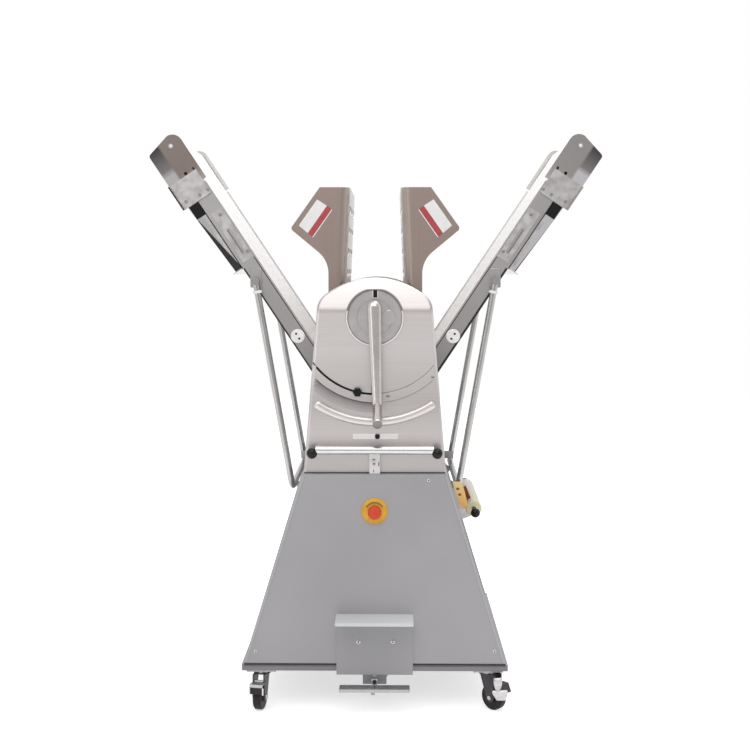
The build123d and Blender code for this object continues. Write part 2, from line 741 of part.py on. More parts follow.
with BuildPart() as front_cover:
    cover_shell(-1)
    crease = front_cover.faces().sort_by(Axis.Y)[0].edges().sort_by(Axis.Z)[-1]
    fillet(crease, radius=LEAN_R)
    pressed = front_cover.faces().sort_by(Axis.Y)[:3]
    fillet(pressed.edges().filter_by(Axis.X, reverse=True), radius=COVER_EDGE_R)
    rear_face = front_cover.faces().filter_by(Axis.Y).sort_by(Axis.Y)[-1]
    foot_face = front_cover.faces().filter_by(Axis.Z).sort_by(Axis.Z)[0]
    offset(amount=-COVER_WALL, openings=[rear_face, foot_face])
    with BuildSketch(upright(MID_Y - HEAD_FACE)):
        arc_band(BAND_IN_R, BAND_OUT_R, -BAND_TURN, BAND_TURN)
        add(cover_flat.sketch_local, mode=Mode.INTERSECT)
    extrude(amount=BAND_RAISE)
    fillet(front_cover.faces().sort_by(Axis.Y)[0].edges(), radius=BAND_RAISE / 5)
    with BuildSketch(upright(MID_Y - HEAD_FACE)):
        arc_band(RIB_IN_R, RIB_OUT_R, -RIB_TURN, RIB_TURN)
    extrude(amount=RIB_RAISE)
    fillet(front_cover.faces().sort_by(Axis.Y)[0].edges(), radius=RIB_RAISE * 2 / 3)
    with BuildSketch(upright(MID_Y - HEAD_FACE + COVER_WALL)):
        arc_band(STOP_R - SLOT_HALF, STOP_R + SLOT_HALF, -SLOT_TO, -SLOT_FROM)
    extrude(amount=COVER_WALL + BAND_RAISE, mode=Mode.SUBTRACT)
    with BuildSketch(upright(MID_Y - HEAD_FACE + LEAN_BACK)):
        dial_outline(DIAL_R + DIAL_RIM + SLIDE_GAP, DIAL_FLAT + SLIDE_GAP)
    extrude(amount=LEAN_BACK, mode=Mode.SUBTRACT)
    drill(upright(MID_Y - HEAD_FACE + COVER_WALL), [(0, HANDLEBAR_Z)], CONTROL_SHAFT_R + SLIDE_GAP,
          0, COVER_WALL)
save(front_cover, "front_cover")

with BuildPart() as rear_cover:
    cover_shell(1)
    crease = rear_cover.faces().sort_by(Axis.Y)[-1].edges().sort_by(Axis.Z)[-1]
    fillet(crease, radius=LEAN_R)
    pressed = rear_cover.faces().sort_by(Axis.Y)[-3:]
    fillet(pressed.edges().filter_by(Axis.X, reverse=True), radius=COVER_EDGE_R)
    inner_face = rear_cover.faces().filter_by(Axis.Y).sort_by(Axis.Y)[0]
    foot_face = rear_cover.faces().filter_by(Axis.Z).sort_by(Axis.Z)[0]
    offset(amount=-COVER_WALL, openings=[inner_face, foot_face])
save(rear_cover, "rear_cover")

with BuildPart() as tie_bars:
    rods(upright(MID_Y + PLATE_IN), [(0, TIE_HIGH_Z), (-TIE_LOW_X, TIE_LOW_Z), (TIE_LOW_X, TIE_LOW_Z)],
         TIE_R, 0, HEAD_GAP)
save(tie_bars, "tie_bars")

with BuildPart() as lower_bearings:
    for end in ENDS:
        outside = upright(MID_Y + end * PLATE_OUT)
        rods(outside, [(0, LOW_ROLLER_Z)], BEARING_R, 0, -end * BEARING_FLANGE)
        rods(outside, [(0, LOW_ROLLER_Z)], BEARING_SPIGOT_R, 0, end * SIDE_PLATE)
        drill(upright(MID_Y + end * PLATE_IN), [(0, LOW_ROLLER_Z)], LOW_SHAFT_R + RUN_FIT, 0,
              -end * (SIDE_PLATE + BEARING_FLANGE))
save(lower_bearings, "lower_bearings")

# Scraper bars between the lower roller and each belt, which also carry the dough across
scraper_reach = ROLLER_R + SLIDE_GAP
tip = scraper_reach * cos(radians(45))
scraper_drop = ROLLER_R / 2 - SHEET
belt_out_r = BELT_IN_R + BELT_T
with BuildPart() as lower_scrapers:
    for sx in (-1, 1):
        with BuildSketch(upright(MID_Y + PLATE_IN)):
            with BuildLine():
                Polyline(
                    (sx * tip, LOW_ROLLER_Z + tip),
                    (sx * (PIVOT_X - belt_out_r + RUN_FIT + SHEET), PIVOT_Z + belt_out_r - 3 * SHEET),
                    (sx * (PIVOT_X - belt_out_r - SHEET / 2), PIVOT_Z + 2 * SHEET),
                    (sx * (tip + scraper_drop), LOW_ROLLER_Z + tip - scraper_drop),
                    close=True,
                )
            make_face()
        extrude(amount=HEAD_GAP)
save(lower_scrapers, "lower_scrapers")

# Rollers
with BuildPart() as lower_roller:
    axis_plane = upright(MID_Y)
    rods(axis_plane, [(0, LOW_ROLLER_Z)], ROLLER_R, -ROLLER_HALF, 2 * ROLLER_HALF)
    shaft_rear = PULLEY_MID + PULLEY_WIDTH / 2
    shaft_front = PLATE_OUT + BEARING_FLANGE
    rods(axis_plane, [(0, LOW_ROLLER_Z)], LOW_SHAFT_R, -shaft_rear, shaft_rear + shaft_front)
    rods(axis_plane, [(0, LOW_ROLLER_Z)], ROLLER_PULLEY_R, -shaft_rear, PULLEY_WIDTH)
save(lower_roller, "lower_roller")

block_out = PLATE_OUT + SLIDE_GAP + BLOCK_FLANGE
with BuildPart() as upper_roller:
    rods(axis_plane, [(0, HIGH_ROLLER_Z)], ROLLER_R, -ROLLER_HALF, 2 * ROLLER_HALF)
    rods(axis_plane, [(0, HIGH_ROLLER_Z)], HIGH_SHAFT_R, -block_out, 2 * block_out)
save(upper_roller, "upper_roller")


def involute_flank(base_r, start_r, tip_r, steps=5):
    """Points of one involute flank as (radius, turn), the curve drawn by a cord unwound from base_r."""
    points = []
    for step in range(steps + 1):
        r = start_r + (tip_r - start_r) * step / steps
        roll = sqrt(max((r / base_r) ** 2 - 1, 0))
        points.append((r, roll - atan2(roll, 1)))
    return points


def pinion_outline():
    """Involute pinion centred on the hub, with a tooth pointing at the rack on its right."""
    base_r = PITCH_R * cos(radians(PRESSURE))
    tip_r = PITCH_R + ADDENDUM * MODULE
    root_r = PITCH_R - DEDENDUM * MODULE
    at_pitch = tan(radians(PRESSURE)) - radians(PRESSURE)
    half = (pi * MODULE / 2 - BACKLASH) / 2 / PITCH_R
    flank = involute_flank(base_r, base_r, tip_r)
    outline = []
    for tooth in range(PINION_TEETH):
        middle = 2 * pi * tooth / PINION_TEETH
        rising = [(r, middle - half - at_pitch + turn) for r, turn in flank]
        falling = [(r, middle + half + at_pitch - turn) for r, turn in reversed(flank)]
        rising.insert(0, (root_r, rising[0][1]))
        falling.append((root_r, falling[-1][1]))
        outline += rising + falling
    points = [(r * cos(turn), HUB_Z + r * sin(turn)) for r, turn in outline]
    with BuildLine() as rim:
        Polyline(*points, close=True)
    make_face(rim.edges())


def rack_outline():
    """Straight-flanked rack, its pitch line tangent to the pinion, with a gap facing the pinion's tooth."""
    pitch = pi * MODULE
    slope = tan(radians(PRESSURE))
    tip_x = PITCH_R - ADDENDUM * MODULE
    root_x = PITCH_R + DEDENDUM * MODULE
    half_tip = (pitch / 2 - BACKLASH) / 2 - ADDENDUM * MODULE * slope
    half_root = (pitch / 2 - BACKLASH) / 2 + DEDENDUM * MODULE * slope
    points = []
    for tooth in range(RACK_TEETH):
        middle = HUB_Z + (tooth - (RACK_TEETH - 1) / 2) * pitch + pitch / 2
        points += [(root_x, middle - half_root), (tip_x, middle - half_tip),
                   (tip_x, middle + half_tip), (root_x, middle + half_root)]
    back = root_x + RACK_BACK
    top = points[-1][1] + SHEET
    with BuildLine() as rim:
        Polyline((root_x, block_high - SHEET), *points, (root_x, top), (back, top),
                 (back, block_high - SHEET), close=True)
    make_face(rim.edges())


# Sliding bearing blocks of the upper roller, each with its rack
with BuildPart() as upper_bearing_blocks:
    for end in ENDS:
        with BuildSketch(upright(MID_Y + end * PLATE_IN)):
            with Locations((0, HIGH_ROLLER_Z)):
                Rectangle(2 * BLOCK_HALF, BLOCK_HEIGHT)
        extrude(amount=-end * (SIDE_PLATE + SLIDE_GAP))
        flange_plane = upright(MID_Y + end * (PLATE_OUT + SLIDE_GAP))
        with BuildSketch(flange_plane):
            with Locations((0, HIGH_ROLLER_Z)):
                Rectangle(2 * BLOCK_FLANGE_HALF, BLOCK_HEIGHT)
            rack_outline()
        extrude(amount=-end * BLOCK_FLANGE)
        drill(upright(MID_Y + end * PLATE_IN), [(0, HIGH_ROLLER_Z)], HIGH_SHAFT_R + RUN_FIT, 0,
              -end * (SIDE_PLATE + SLIDE_GAP + BLOCK_FLANGE))
save(upper_bearing_blocks, "upper_bearing_blocks")

dial_front = MID_Y - HEAD_FACE - BAND_RAISE
lever_back = MID_Y - HEAD_FACE - LEVER_STAND
with BuildPart() as lever_shaft:
    rear_tip = PLATE_OUT + SLIDE_GAP + BLOCK_FLANGE
    rods(axis_plane, [(0, HUB_Z)], SHAFT_R, -rear_tip, rear_tip + HEAD_FACE + LEVER_STAND)
    for end in ENDS:
        with BuildSketch(upright(MID_Y + end * (PLATE_OUT + SLIDE_GAP))):
            pinion_outline()
        extrude(amount=-end * BLOCK_FLANGE)
save(lever_shaft, "lever_shaft")

# Dial drum sunk into the cover: a cast dish with a flat top, a bevelled rim, a raised ring and a boss
with BuildPart() as dial_plate:
    dial_plane = upright(MID_Y - HEAD_FACE)
    dial_face = dial_plane.offset(-DIAL_SINK)
    dial_back = dial_plane.offset(-LEAN_BACK)
    with BuildSketch(dial_back):
        dial_outline(DIAL_R + DIAL_RIM, DIAL_FLAT)
    extrude(amount=LEAN_BACK + DIAL_PROUD)
    with BuildSketch(dial_plane):
        dial_outline(DIAL_R + DIAL_RIM + DIAL_LIP, DIAL_FLAT)
    extrude(amount=DIAL_PROUD)
    with BuildSketch(dial_back):
        dial_outline(DIAL_R, DIAL_FLAT - DIAL_PLATE)
    extrude(amount=LEAN_BACK - DIAL_SINK - DIAL_PLATE, mode=Mode.SUBTRACT)
    with BuildSketch(dial_face):
        with Locations((0, HUB_Z)):
            Circle(DIAL_R)
    dish = DIAL_SINK + DIAL_PROUD
    extrude(amount=dish, taper=-degrees(atan2(DIAL_RIM, dish)), mode=Mode.SUBTRACT)
    with BuildSketch(dial_plane.offset(-COVER_WALL)):
        with Locations((0, HUB_Z)):
            Circle(DIAL_R + 2 * DIAL_RIM)
            Circle(DIAL_R + DIAL_RIM - SHEET, mode=Mode.SUBTRACT)
        with Locations((0, HUB_Z + 2 * DIAL_R)):
            Rectangle(4 * DIAL_R, 4 * DIAL_R, mode=Mode.SUBTRACT)
    extrude(amount=-DIAL_FLANGE)
    with BuildSketch(dial_face):
        with Locations((0, HUB_Z)):
            Circle(DIAL_RING_R)
            Circle(DIAL_RING_R - DIAL_RING_WIDTH, mode=Mode.SUBTRACT)
    extrude(amount=DIAL_RING)
    rods(dial_face, [(DIAL_BOSS_X, HUB_Z)], DIAL_BOSS_R, 0, DIAL_BOSS)
    drill(dial_back, [(0, HUB_Z)], SHAFT_R + SLIDE_GAP, 0, LEAN_BACK)
save(dial_plate, "dial_plate")

# Gap lever: a cast oval arm with a round head, which tapers down, bends out and ends in a round grip
lean_x = Vector(cos(radians(LEVER_LEAN)), 0, sin(radians(LEVER_LEAN)))
lean_up = Vector(-sin(radians(LEVER_LEAN)), 0, cos(radians(LEVER_LEAN)))
forward = Vector(0, -1, 0)
arm_mid = Vector(0, lever_back - LEVER_DEPTH / 2, HUB_Z)
head_up = LEVER_TOP - LEVER_TOP_HALF
grip_dir = forward * sin(radians(LEVER_GRIP_TILT)) - lean_up * cos(radians(LEVER_GRIP_TILT))
grip_plane = Plane(origin=arm_mid - lean_up * LEVER_ARM, x_dir=lean_x, z_dir=grip_dir)
with BuildPart() as lever:
    with BuildSketch(Plane(arm_mid - lean_up * LEVER_ARM, lean_x, lean_up)):
        Ellipse(LEVER_NECK_HALF, LEVER_DEPTH / 2)
    for turn in (radians(step * HEAD_STEP) for step in range(6)):
        head_at = head_up + LEVER_TOP_HALF * sin(turn)
        with BuildSketch(Plane(arm_mid + lean_up * head_at, lean_x, lean_up)):
            Ellipse(LEVER_TOP_HALF * cos(turn), LEVER_DEPTH / 2 * cos(turn))
    loft(ruled=True)
    rods(upright(lever_back), [(0, HUB_Z)], LEVER_TOP_HALF - SHEET, 0, LEVER_DEPTH / 2)
    rods(grip_plane, [(0, 0)], LEVER_GRIP_R, -LEVER_GRIP_R, LEVER_GRIP - LEVER_KNOB + LEVER_GRIP_R)
    rods(grip_plane, [(0, 0)], LEVER_KNOB_R, LEVER_GRIP - LEVER_KNOB, LEVER_KNOB)
    grip_rim = lever.faces().sort_by(Axis.Z)[0].edges()
    fillet(grip_rim, radius=LEVER_KNOB / 4)
save(lever, "lever")

# Star knob in the arc slot
stop_angle = radians(-90 - STOP_TURN)
stop_centre = (STOP_R * cos(stop_angle), HUB_Z + STOP_R * sin(stop_angle))
with BuildPart() as stop_knob:
    knob_plane = upright(MID_Y - HEAD_FACE)
    knob_back = BAND_RAISE + SLIDE_GAP
    with BuildSketch(knob_plane.offset(knob_back)):
        with Locations(stop_centre):
            Circle(STOP_KNOB_R - STOP_LOBE_R / 2)
            with PolarLocations(STOP_KNOB_R - STOP_LOBE_R, STOP_LOBES):
                Circle(STOP_LOBE_R)
    extrude(amount=STOP_KNOB)
    rods(knob_plane, [stop_centre], STOP_STEM_R, -COVER_WALL - SLIDE_GAP, COVER_WALL + SLIDE_GAP + knob_back)
    rods(knob_plane, [stop_centre], 2 * STOP_STEM_R, -COVER_WALL - SLIDE_GAP - STOP_KNOB, STOP_KNOB)
save(stop_knob, "stop_knob")

# Handlebar with its clamp, control shaft and crank, and the balls on its ends
bar_mid_y = MID_Y - HEAD_FACE - HANDLEBAR_STAND
bar_plane = Plane(origin=(0, bar_mid_y, HANDLEBAR_Z + BAR_LIFT), x_dir=(0, 1, 0), z_dir=(1, 0, 0))
crank_y = MID_Y - HEAD_FACE + CRANK_INSET
link_y = crank_y + CRANK_PLATE + SLIDE_GAP


def crank(shaft_z, front_y, shaft_r):
    """Control shaft running back from front_y, with a crank plate and a link pin on its right."""
    rods(upright(crank_y), [(0, shaft_z)], shaft_r, -CRANK_PLATE, crank_y - front_y + CRANK_PLATE)
    with BuildSketch(upright(crank_y)) as arm:
        with Locations((CRANK_REACH / 2, shaft_z)):
            SlotCenterToCenter(CRANK_REACH, 2 * CONTROL_SHAFT_R + 2 * SHEET)
    extrude(arm.sketch, amount=-CRANK_PLATE)
    rods(upright(crank_y + CRANK_PLATE), [(CRANK_REACH, shaft_z)], CRANK_PIN_R, 0,
         -(LINK_PLATE + 2 * SLIDE_GAP + SHEET))


with BuildPart() as handlebar:
    rods(bar_plane, [(0, 0)], HANDLEBAR_R, -HANDLEBAR_HALF, 2 * HANDLEBAR_HALF)
    with BuildSketch(upright(post_front - SLIDE_GAP)):
        with Locations((0, HANDLEBAR_Z)):
            Rectangle(2 * POST_HALF, 2 * HANDLEBAR_R + 4 * SHEET)
    extrude(amount=post_front - SLIDE_GAP - bar_mid_y)
    crank(HANDLEBAR_Z, post_front - SLIDE_GAP, CONTROL_SHAFT_R)
save(handlebar, "handlebar")

ball_flat = sqrt(BALL_R ** 2 - (BALL_R / 2) ** 2)
with BuildPart() as handlebar_balls:
    for sx in (-1, 1):
        with BuildSketch(upright(bar_mid_y)):
            with BuildLine():
                Polyline((sx * (HANDLEBAR_HALF + BALL_R * 3 / 2), HANDLEBAR_Z),
                         (sx * HANDLEBAR_HALF, HANDLEBAR_Z),
                         (sx * HANDLEBAR_HALF, HANDLEBAR_Z + ball_flat))
                ThreePointArc((sx * HANDLEBAR_HALF, HANDLEBAR_Z + ball_flat),
                              (sx * (HANDLEBAR_HALF + BALL_R / 2), HANDLEBAR_Z + BALL_R),
                              (sx * (HANDLEBAR_HALF + BALL_R * 3 / 2), HANDLEBAR_Z))
            make_face()
        revolve(axis=Axis((0, bar_mid_y, HANDLEBAR_Z), (1, 0, 0)))
save(handlebar_balls, "handlebar_balls")

pedal_front = MID_Y - BASE_FACE - SLIDE_GAP
with BuildPart() as foot_pedal:
    arm_high = PEDAL_SHAFT_R / 2
    arm_low = -PEDAL_DROP - PEDAL_BAR / 2
    with BuildSketch(upright(pedal_front)):
        with Locations((0, PEDAL_Z + (arm_high + arm_low) / 2)):
            Rectangle(PEDAL_ARM, arm_high - arm_low)
    extrude(amount=PEDAL_REACH)
    with BuildSketch(upright(pedal_front - PEDAL_REACH)):
        with Locations((0, PEDAL_Z - PEDAL_DROP)):
            RectangleRounded(2 * PEDAL_HALF, PEDAL_BAR, PEDAL_BAR / 4)
    extrude(amount=PEDAL_DEPTH)
    crank(PEDAL_Z, pedal_front, PEDAL_SHAFT_R)
save(foot_pedal, "foot_pedal")

with BuildPart() as control_link:
    with BuildSketch(upright(link_y)):
        with Locations((CRANK_REACH, (HANDLEBAR_Z + PEDAL_Z) / 2)):
            SlotCenterToCenter(HANDLEBAR_Z - PEDAL_Z, LINK_WIDTH, rotation=90)
        with Locations((CRANK_REACH, HANDLEBAR_Z), (CRANK_REACH, PEDAL_Z)):
            Circle(CRANK_PIN_R + 2 * SLIDE_GAP, mode=Mode.SUBTRACT)
    extrude(amount=-LINK_PLATE)
save(control_link, "control_link")

# Motor with gearbox, its pulley and the belt up to the lower roller
motor_face = MID_Y + PULLEY_MID - PULLEY_WIDTH
with BuildPart() as motor:
    with BuildSketch(upright(motor_face)):
        with Locations((0, MOTOR_Z)):
            RectangleRounded(GEARBOX, GEARBOX, GEARBOX / 8)
    extrude(amount=GEARBOX_DEPTH)
    rods(upright(motor_face), [(0, MOTOR_Z)], MOTOR_R, GEARBOX_DEPTH, MOTOR_LENGTH)
    rods(upright(motor_face), [(0, MOTOR_Z)], MOTOR_R - 2 * SHEET, GEARBOX_DEPTH + MOTOR_LENGTH, MOTOR_R / 2)
    foot_height = MOTOR_Z - GEARBOX / 2 - PAN_FLOOR
    with BuildSketch(upright(motor_face)):
        with Locations((0, PAN_FLOOR + foot_height / 2)):
            Rectangle(GEARBOX * 2 / 3, foot_height)
    extrude(amount=GEARBOX_DEPTH)
    with BuildSketch(Plane.XY.offset(PAN_FLOOR)):
        with Locations((0, motor_face - GEARBOX_DEPTH / 2)):
            Rectangle(GEARBOX * 3 / 2, GEARBOX_DEPTH)
    extrude(amount=2 * TOP_PLATE)
    drill(upright(motor_face), [(0, MOTOR_Z)], MOTOR_SHAFT_R + RUN_FIT, 0, GEARBOX_DEPTH / 2)
save(motor, "motor")

with BuildPart() as motor_pulley:
    rods(upright(motor_face), [(0, MOTOR_Z)], MOTOR_SHAFT_R, -PULLEY_WIDTH * 3 / 2,
         PULLEY_WIDTH * 3 / 2 + GEARBOX_DEPTH / 3)
    rods(upright(motor_face), [(0, MOTOR_Z)], MOTOR_PULLEY_R, -PULLEY_WIDTH * 3 / 2, PULLEY_WIDTH)
save(motor_pulley, "motor_pulley")


def belt_hull(lift):
    """Outline round both pulleys, lifted off their rims."""
    with Locations((0, MOTOR_Z)):
        Circle(MOTOR_PULLEY_R + lift)
    with Locations((0, LOW_ROLLER_Z)):
        Circle(ROLLER_PULLEY_R + lift)
    make_hull()


with BuildPart() as drive_belt:
    belt_back = upright(MID_Y + PULLEY_MID + DRIVE_BELT / 2)
    with BuildSketch(belt_back):
        belt_hull(BELT_LIFT + DRIVE_BELT_T)
    extrude(amount=DRIVE_BELT)
    with BuildSketch(belt_back):
        belt_hull(BELT_LIFT)
    extrude(amount=DRIVE_BELT, mode=Mode.SUBTRACT)
save(drive_belt, "drive_belt")

# Conveyor tables
trunnion_clear = TRUNNION_R + RUN_FIT
flange_in = RAIL_OUT - RAIL_FLANGE
cheek_out = RAIL_OUT + CHEEK_SHEET
for side, sx in SIDES:
    plane = table_plane(sx)

    with BuildPart() as table_frame:
        for end in ENDS:
            web = plane.offset(end * (RAIL_OUT - RAIL_SHEET))
            with BuildSketch(web):
                with BuildLine():
                    Polyline((0, -RAIL_HALF), (RAIL_END_U, -RAIL_HALF), (RAIL_END_U, RAIL_HALF), (0, RAIL_HALF))
                    ThreePointArc((0, RAIL_HALF), (-RAIL_HALF, 0), (0, -RAIL_HALF))
                make_face()
                Circle(trunnion_clear, mode=Mode.SUBTRACT)
                with Locations((STRUT_U, STRUT_V)):
                    Circle(STRUT_PIN_R + RUN_FIT, mode=Mode.SUBTRACT)
            extrude(amount=end * RAIL_SHEET)
            for edge in ENDS:
                with BuildSketch(plane.offset(end * flange_in)):
                    with Locations((RAIL_END_U / 2 + BED_START_U / 2, edge * (RAIL_HALF - RAIL_SHEET / 2))):
                        Rectangle(RAIL_END_U - BED_START_U, RAIL_SHEET)
                extrude(amount=end * RAIL_FLANGE)
        with BuildSketch(plane.offset(RAIL_SHEET - RAIL_OUT)):
            with Locations(((BED_START_U + RAIL_END_U) / 2, BELT_IN_R - BED_T / 2)):
                Rectangle(RAIL_END_U - BED_START_U, BED_T)
        extrude(amount=2 * (RAIL_OUT - RAIL_SHEET))
    save(table_frame, f"{side}_table_frame")

    with BuildPart() as belt:
        with BuildSketch(plane.offset(-BELT_WIDTH / 2)):
            with Locations((TAIL_U / 2, 0)):
                SlotCenterToCenter(TAIL_U, 2 * (BELT_IN_R + BELT_T))
                SlotCenterToCenter(TAIL_U, 2 * BELT_IN_R, mode=Mode.SUBTRACT)
        extrude(amount=BELT_WIDTH)
    save(belt, f"{side}_belt")

    with BuildPart() as drive_roller:
        rods(plane, [(0, 0)], TABLE_ROLLER_R, -BELT_WIDTH / 2, BELT_WIDTH)
        rods(plane, [(0, 0)], TABLE_SHAFT_R, -PLATE_OUT, 2 * PLATE_OUT)
    save(drive_roller, f"{side}_drive_roller")

    with BuildPart() as tail_roller:
        rods(plane, [(TAIL_U, 0)], TABLE_ROLLER_R, -BELT_WIDTH / 2, BELT_WIDTH)
        rods(plane, [(TAIL_U, 0)], TAIL_SHAFT_R, -cheek_out - SHEET, 2 * (cheek_out + SHEET))
    save(tail_roller, f"{side}_tail_roller")

    with BuildPart() as tail_brackets:
        for end in ENDS:
            with BuildSketch(plane.offset(end * RAIL_OUT)):
                with Locations(((TENSION_FROM_U + TENSION_TO_U) / 2, TENSION_V)):
                    Rectangle(TENSION_TO_U - TENSION_FROM_U, 2 * TENSION_HALF)
                with Locations((TENSION_SLOT_U, TENSION_V)):
                    SlotOverall(TENSION_SLOT, TENSION_SLOT_WIDTH, mode=Mode.SUBTRACT)
            extrude(amount=end * CHEEK_SHEET)
            bracket_v = RAIL_HALF - BRACKET_LOW_V
            bracket_u = BRACKET_TO_U - BRACKET_FROM_U
            bracket_mid = BRACKET_TO_U - bracket_u / 2
            with BuildSketch(plane.offset(end * cheek_out)):
                with Locations((bracket_mid, RAIL_HALF - bracket_v / 2)):
                    Rectangle(bracket_u, bracket_v)
            extrude(amount=end * BRACKET_PLATE)
            with BuildSketch(plane.offset(end * cheek_out)):
                with Locations((bracket_mid, BRACKET_LOW_V + BRACKET_PLATE / 2)):
                    Rectangle(bracket_u, BRACKET_PLATE)
            extrude(amount=end * BRACKET_LIP)
    save(tail_brackets, f"{side}_tail_brackets")

    with BuildPart() as end_tray:
        wall_top = -RAIL_HALF - TRAY_SEAM
        lobe = CHEEK_LOBE_R
        lobe_top = CHEEK_LOBE_V + lobe
        for end in ENDS:
            with BuildSketch(plane.offset(end * RAIL_OUT)) as cheek:
                with BuildLine():
                    Polyline((TAIL_U, lobe_top), (CHEEK_STEP_U, lobe_top), (CHEEK_STEP_U, RAIL_HALF),
                             (CHEEK_FROM_U, RAIL_HALF), (CHEEK_FROM_U, wall_top), (TRAY_FROM_U, wall_top),
                             (TRAY_FROM_U, TRAY_SHALLOW_V), (BRACKET_FROM_U, TRAY_MID_V),
                             (BRACKET_TO_U, CHEEK_LOW_V), (CHEEK_END_U, CHEEK_LOW_V), (TAIL_U + lobe, CHEEK_LOBE_V))
                    ThreePointArc((TAIL_U + lobe, CHEEK_LOBE_V),
                                  (TAIL_U + lobe * cos(pi / 4), CHEEK_LOBE_V + lobe * sin(pi / 4)),
                                  (TAIL_U, lobe_top))
                make_face()
                corner = cheek.vertices().group_by(Axis.Y)[0].sort_by(Axis.X)[-1]
                fillet(corner, radius=CHEEK_CORNER_R)
                with Locations((TAIL_U, 0)):
                    Circle(TAIL_SHAFT_R + RUN_FIT, mode=Mode.SUBTRACT)
                with Locations((CHEEK_HOLE_U, CHEEK_HOLE_LIFT + CHEEK_HOLE_V),
                               (CHEEK_HOLE_U, CHEEK_HOLE_LIFT - CHEEK_HOLE_V)):
                    Circle(CHEEK_HOLE_R, mode=Mode.SUBTRACT)
            extrude(amount=end * CHEEK_SHEET)
        floor_end = CHEEK_END_U - CHEEK_CORNER_R
        with BuildSketch(plane.offset(-RAIL_OUT)):
            with BuildLine():
                Polyline(
                    (TRAY_FROM_U, wall_top),
                    (TRAY_FROM_U, TRAY_SHALLOW_V - TRAY_LIP),
                    (TRAY_FROM_U + CHEEK_SHEET, TRAY_SHALLOW_V - TRAY_LIP),
                    (TRAY_FROM_U + CHEEK_SHEET, TRAY_SHALLOW_V),
                    (BRACKET_FROM_U, TRAY_MID_V),
                    (BRACKET_TO_U, CHEEK_LOW_V),
                    (floor_end, CHEEK_LOW_V),
                    (CHEEK_END_U, CHEEK_LOW_V + CHEEK_CORNER_R),
                    (CHEEK_END_U, CHEEK_LOW_V / 2),
                    (CHEEK_END_U - CHEEK_SHEET, CHEEK_LOW_V / 2),
                    (CHEEK_END_U - CHEEK_SHEET, CHEEK_LOW_V + CHEEK_CORNER_R),
                    (floor_end - CHEEK_SHEET, CHEEK_LOW_V + CHEEK_SHEET),
                    (BRACKET_TO_U, CHEEK_LOW_V + CHEEK_SHEET),
                    (BRACKET_FROM_U, TRAY_MID_V + CHEEK_SHEET),
                    (TRAY_FROM_U + CHEEK_SHEET, TRAY_SHALLOW_V + CHEEK_SHEET),
                    (TRAY_FROM_U + CHEEK_SHEET, wall_top),
                    close=True,
                )
            make_face()
        extrude(amount=2 * RAIL_OUT)
    save(end_tray, f"{side}_end_tray")

    hinge = plane.from_local_coords((STRUT_U, STRUT_V, 0))
    with BuildPart() as strut:
        top = Vector(hinge.X, 0, hinge.Z)
        foot = Vector(sx * strut_x, 0, STRUT_Z)
        front = Vector(0, MID_Y - STRUT_OUT, 0)
        rear = Vector(0, MID_Y + STRUT_OUT, 0)
        with BuildLine() as run:
            FilletPolyline(top + front, foot + front, foot + rear, top + rear, radius=STRUT_BEND_R)
        with BuildSketch(Plane(origin=top + front, z_dir=foot - top)):
            Circle(STRUT_R)
        sweep(path=run.wires()[0])
        for end in ENDS:
            rods(upright(MID_Y + end * (STRUT_OUT + STRUT_R)), [(hinge.X, hinge.Z)], STRUT_R + SHEET, 0,
                 end * 2 * STRUT_R)
            rods(upright(MID_Y + end * (RAIL_OUT - 2 * RAIL_SHEET)), [(hinge.X, hinge.Z)], STRUT_PIN_R, 0,
                 -end * 2 * STRUT_R)
    save(strut, f"{side}_strut")

    with BuildPart() as guard:
        lean = Vector(sx * (GUARD_FACE_X - GUARD_FACE_LOW_X), 0, GUARD_CREST_Z - GUARD_FACE_LOW_Z)
        for end in ENDS:
            with BuildSketch(upright(MID_Y + end * (GUARD_OUT - GUARD_SHEET))) as side_plate:
                stem_in = GUARD_PIVOT_X - GUARD_STEM_HALF
                stem_out = GUARD_PIVOT_X + GUARD_STEM_HALF
                with BuildLine():
                    Polyline(
                        (sx * stem_in, GUARD_PIVOT_Z),
                        (sx * (GUARD_FACE_LOW_X + GUARD_BEND_R), GUARD_FACE_LOW_Z),
                        (sx * (GUARD_FACE_X + GUARD_BEND_R), GUARD_CREST_Z),
                        (sx * GUARD_CREST_X, GUARD_CREST_Z),
                        (sx * GUARD_WING_X, GUARD_WING_Z),
                        (sx * stem_out, GUARD_NECK_Z),
                        (sx * stem_out, GUARD_PIVOT_Z),
                    )
                    ThreePointArc(
                        (sx * stem_out, GUARD_PIVOT_Z),
                        (sx * GUARD_PIVOT_X, GUARD_PIVOT_Z - GUARD_STEM_HALF),
                        (sx * stem_in, GUARD_PIVOT_Z),
                    )
                make_face()
                neck = side_plate.vertices().sort_by(Axis.Y)[3]
                fillet(neck, radius=GUARD_NECK_R)
                wing = side_plate.vertices().sort_by(Axis.X)[-1 if sx > 0 else 0]
                fillet(wing, radius=GUARD_WING_R)
            extrude(amount=-end * GUARD_SHEET)
            rods(upright(MID_Y + end * (GUARD_OUT - GUARD_SHEET)), [(sx * GUARD_PIVOT_X, GUARD_PIVOT_Z)],
                 GUARD_PIN_R, 0, -end * (PLATE_OUT - GUARD_OUT + GUARD_SHEET))
        bend = 4 * GUARD_BEND_R
        with BuildSketch(Plane.XY.offset(GUARD_FACE_LOW_Z)) as channel:
            with Locations((sx * (GUARD_FACE_LOW_X + bend / 2), MID_Y)):
                RectangleRounded(bend, 2 * GUARD_OUT, GUARD_BEND_R)
                RectangleRounded(bend - 2 * GUARD_SHEET, 2 * (GUARD_OUT - GUARD_SHEET),
                                 GUARD_BEND_R - GUARD_SHEET, mode=Mode.SUBTRACT)
            with Locations((sx * (GUARD_FACE_LOW_X + GUARD_BEND_R + bend / 2), MID_Y)):
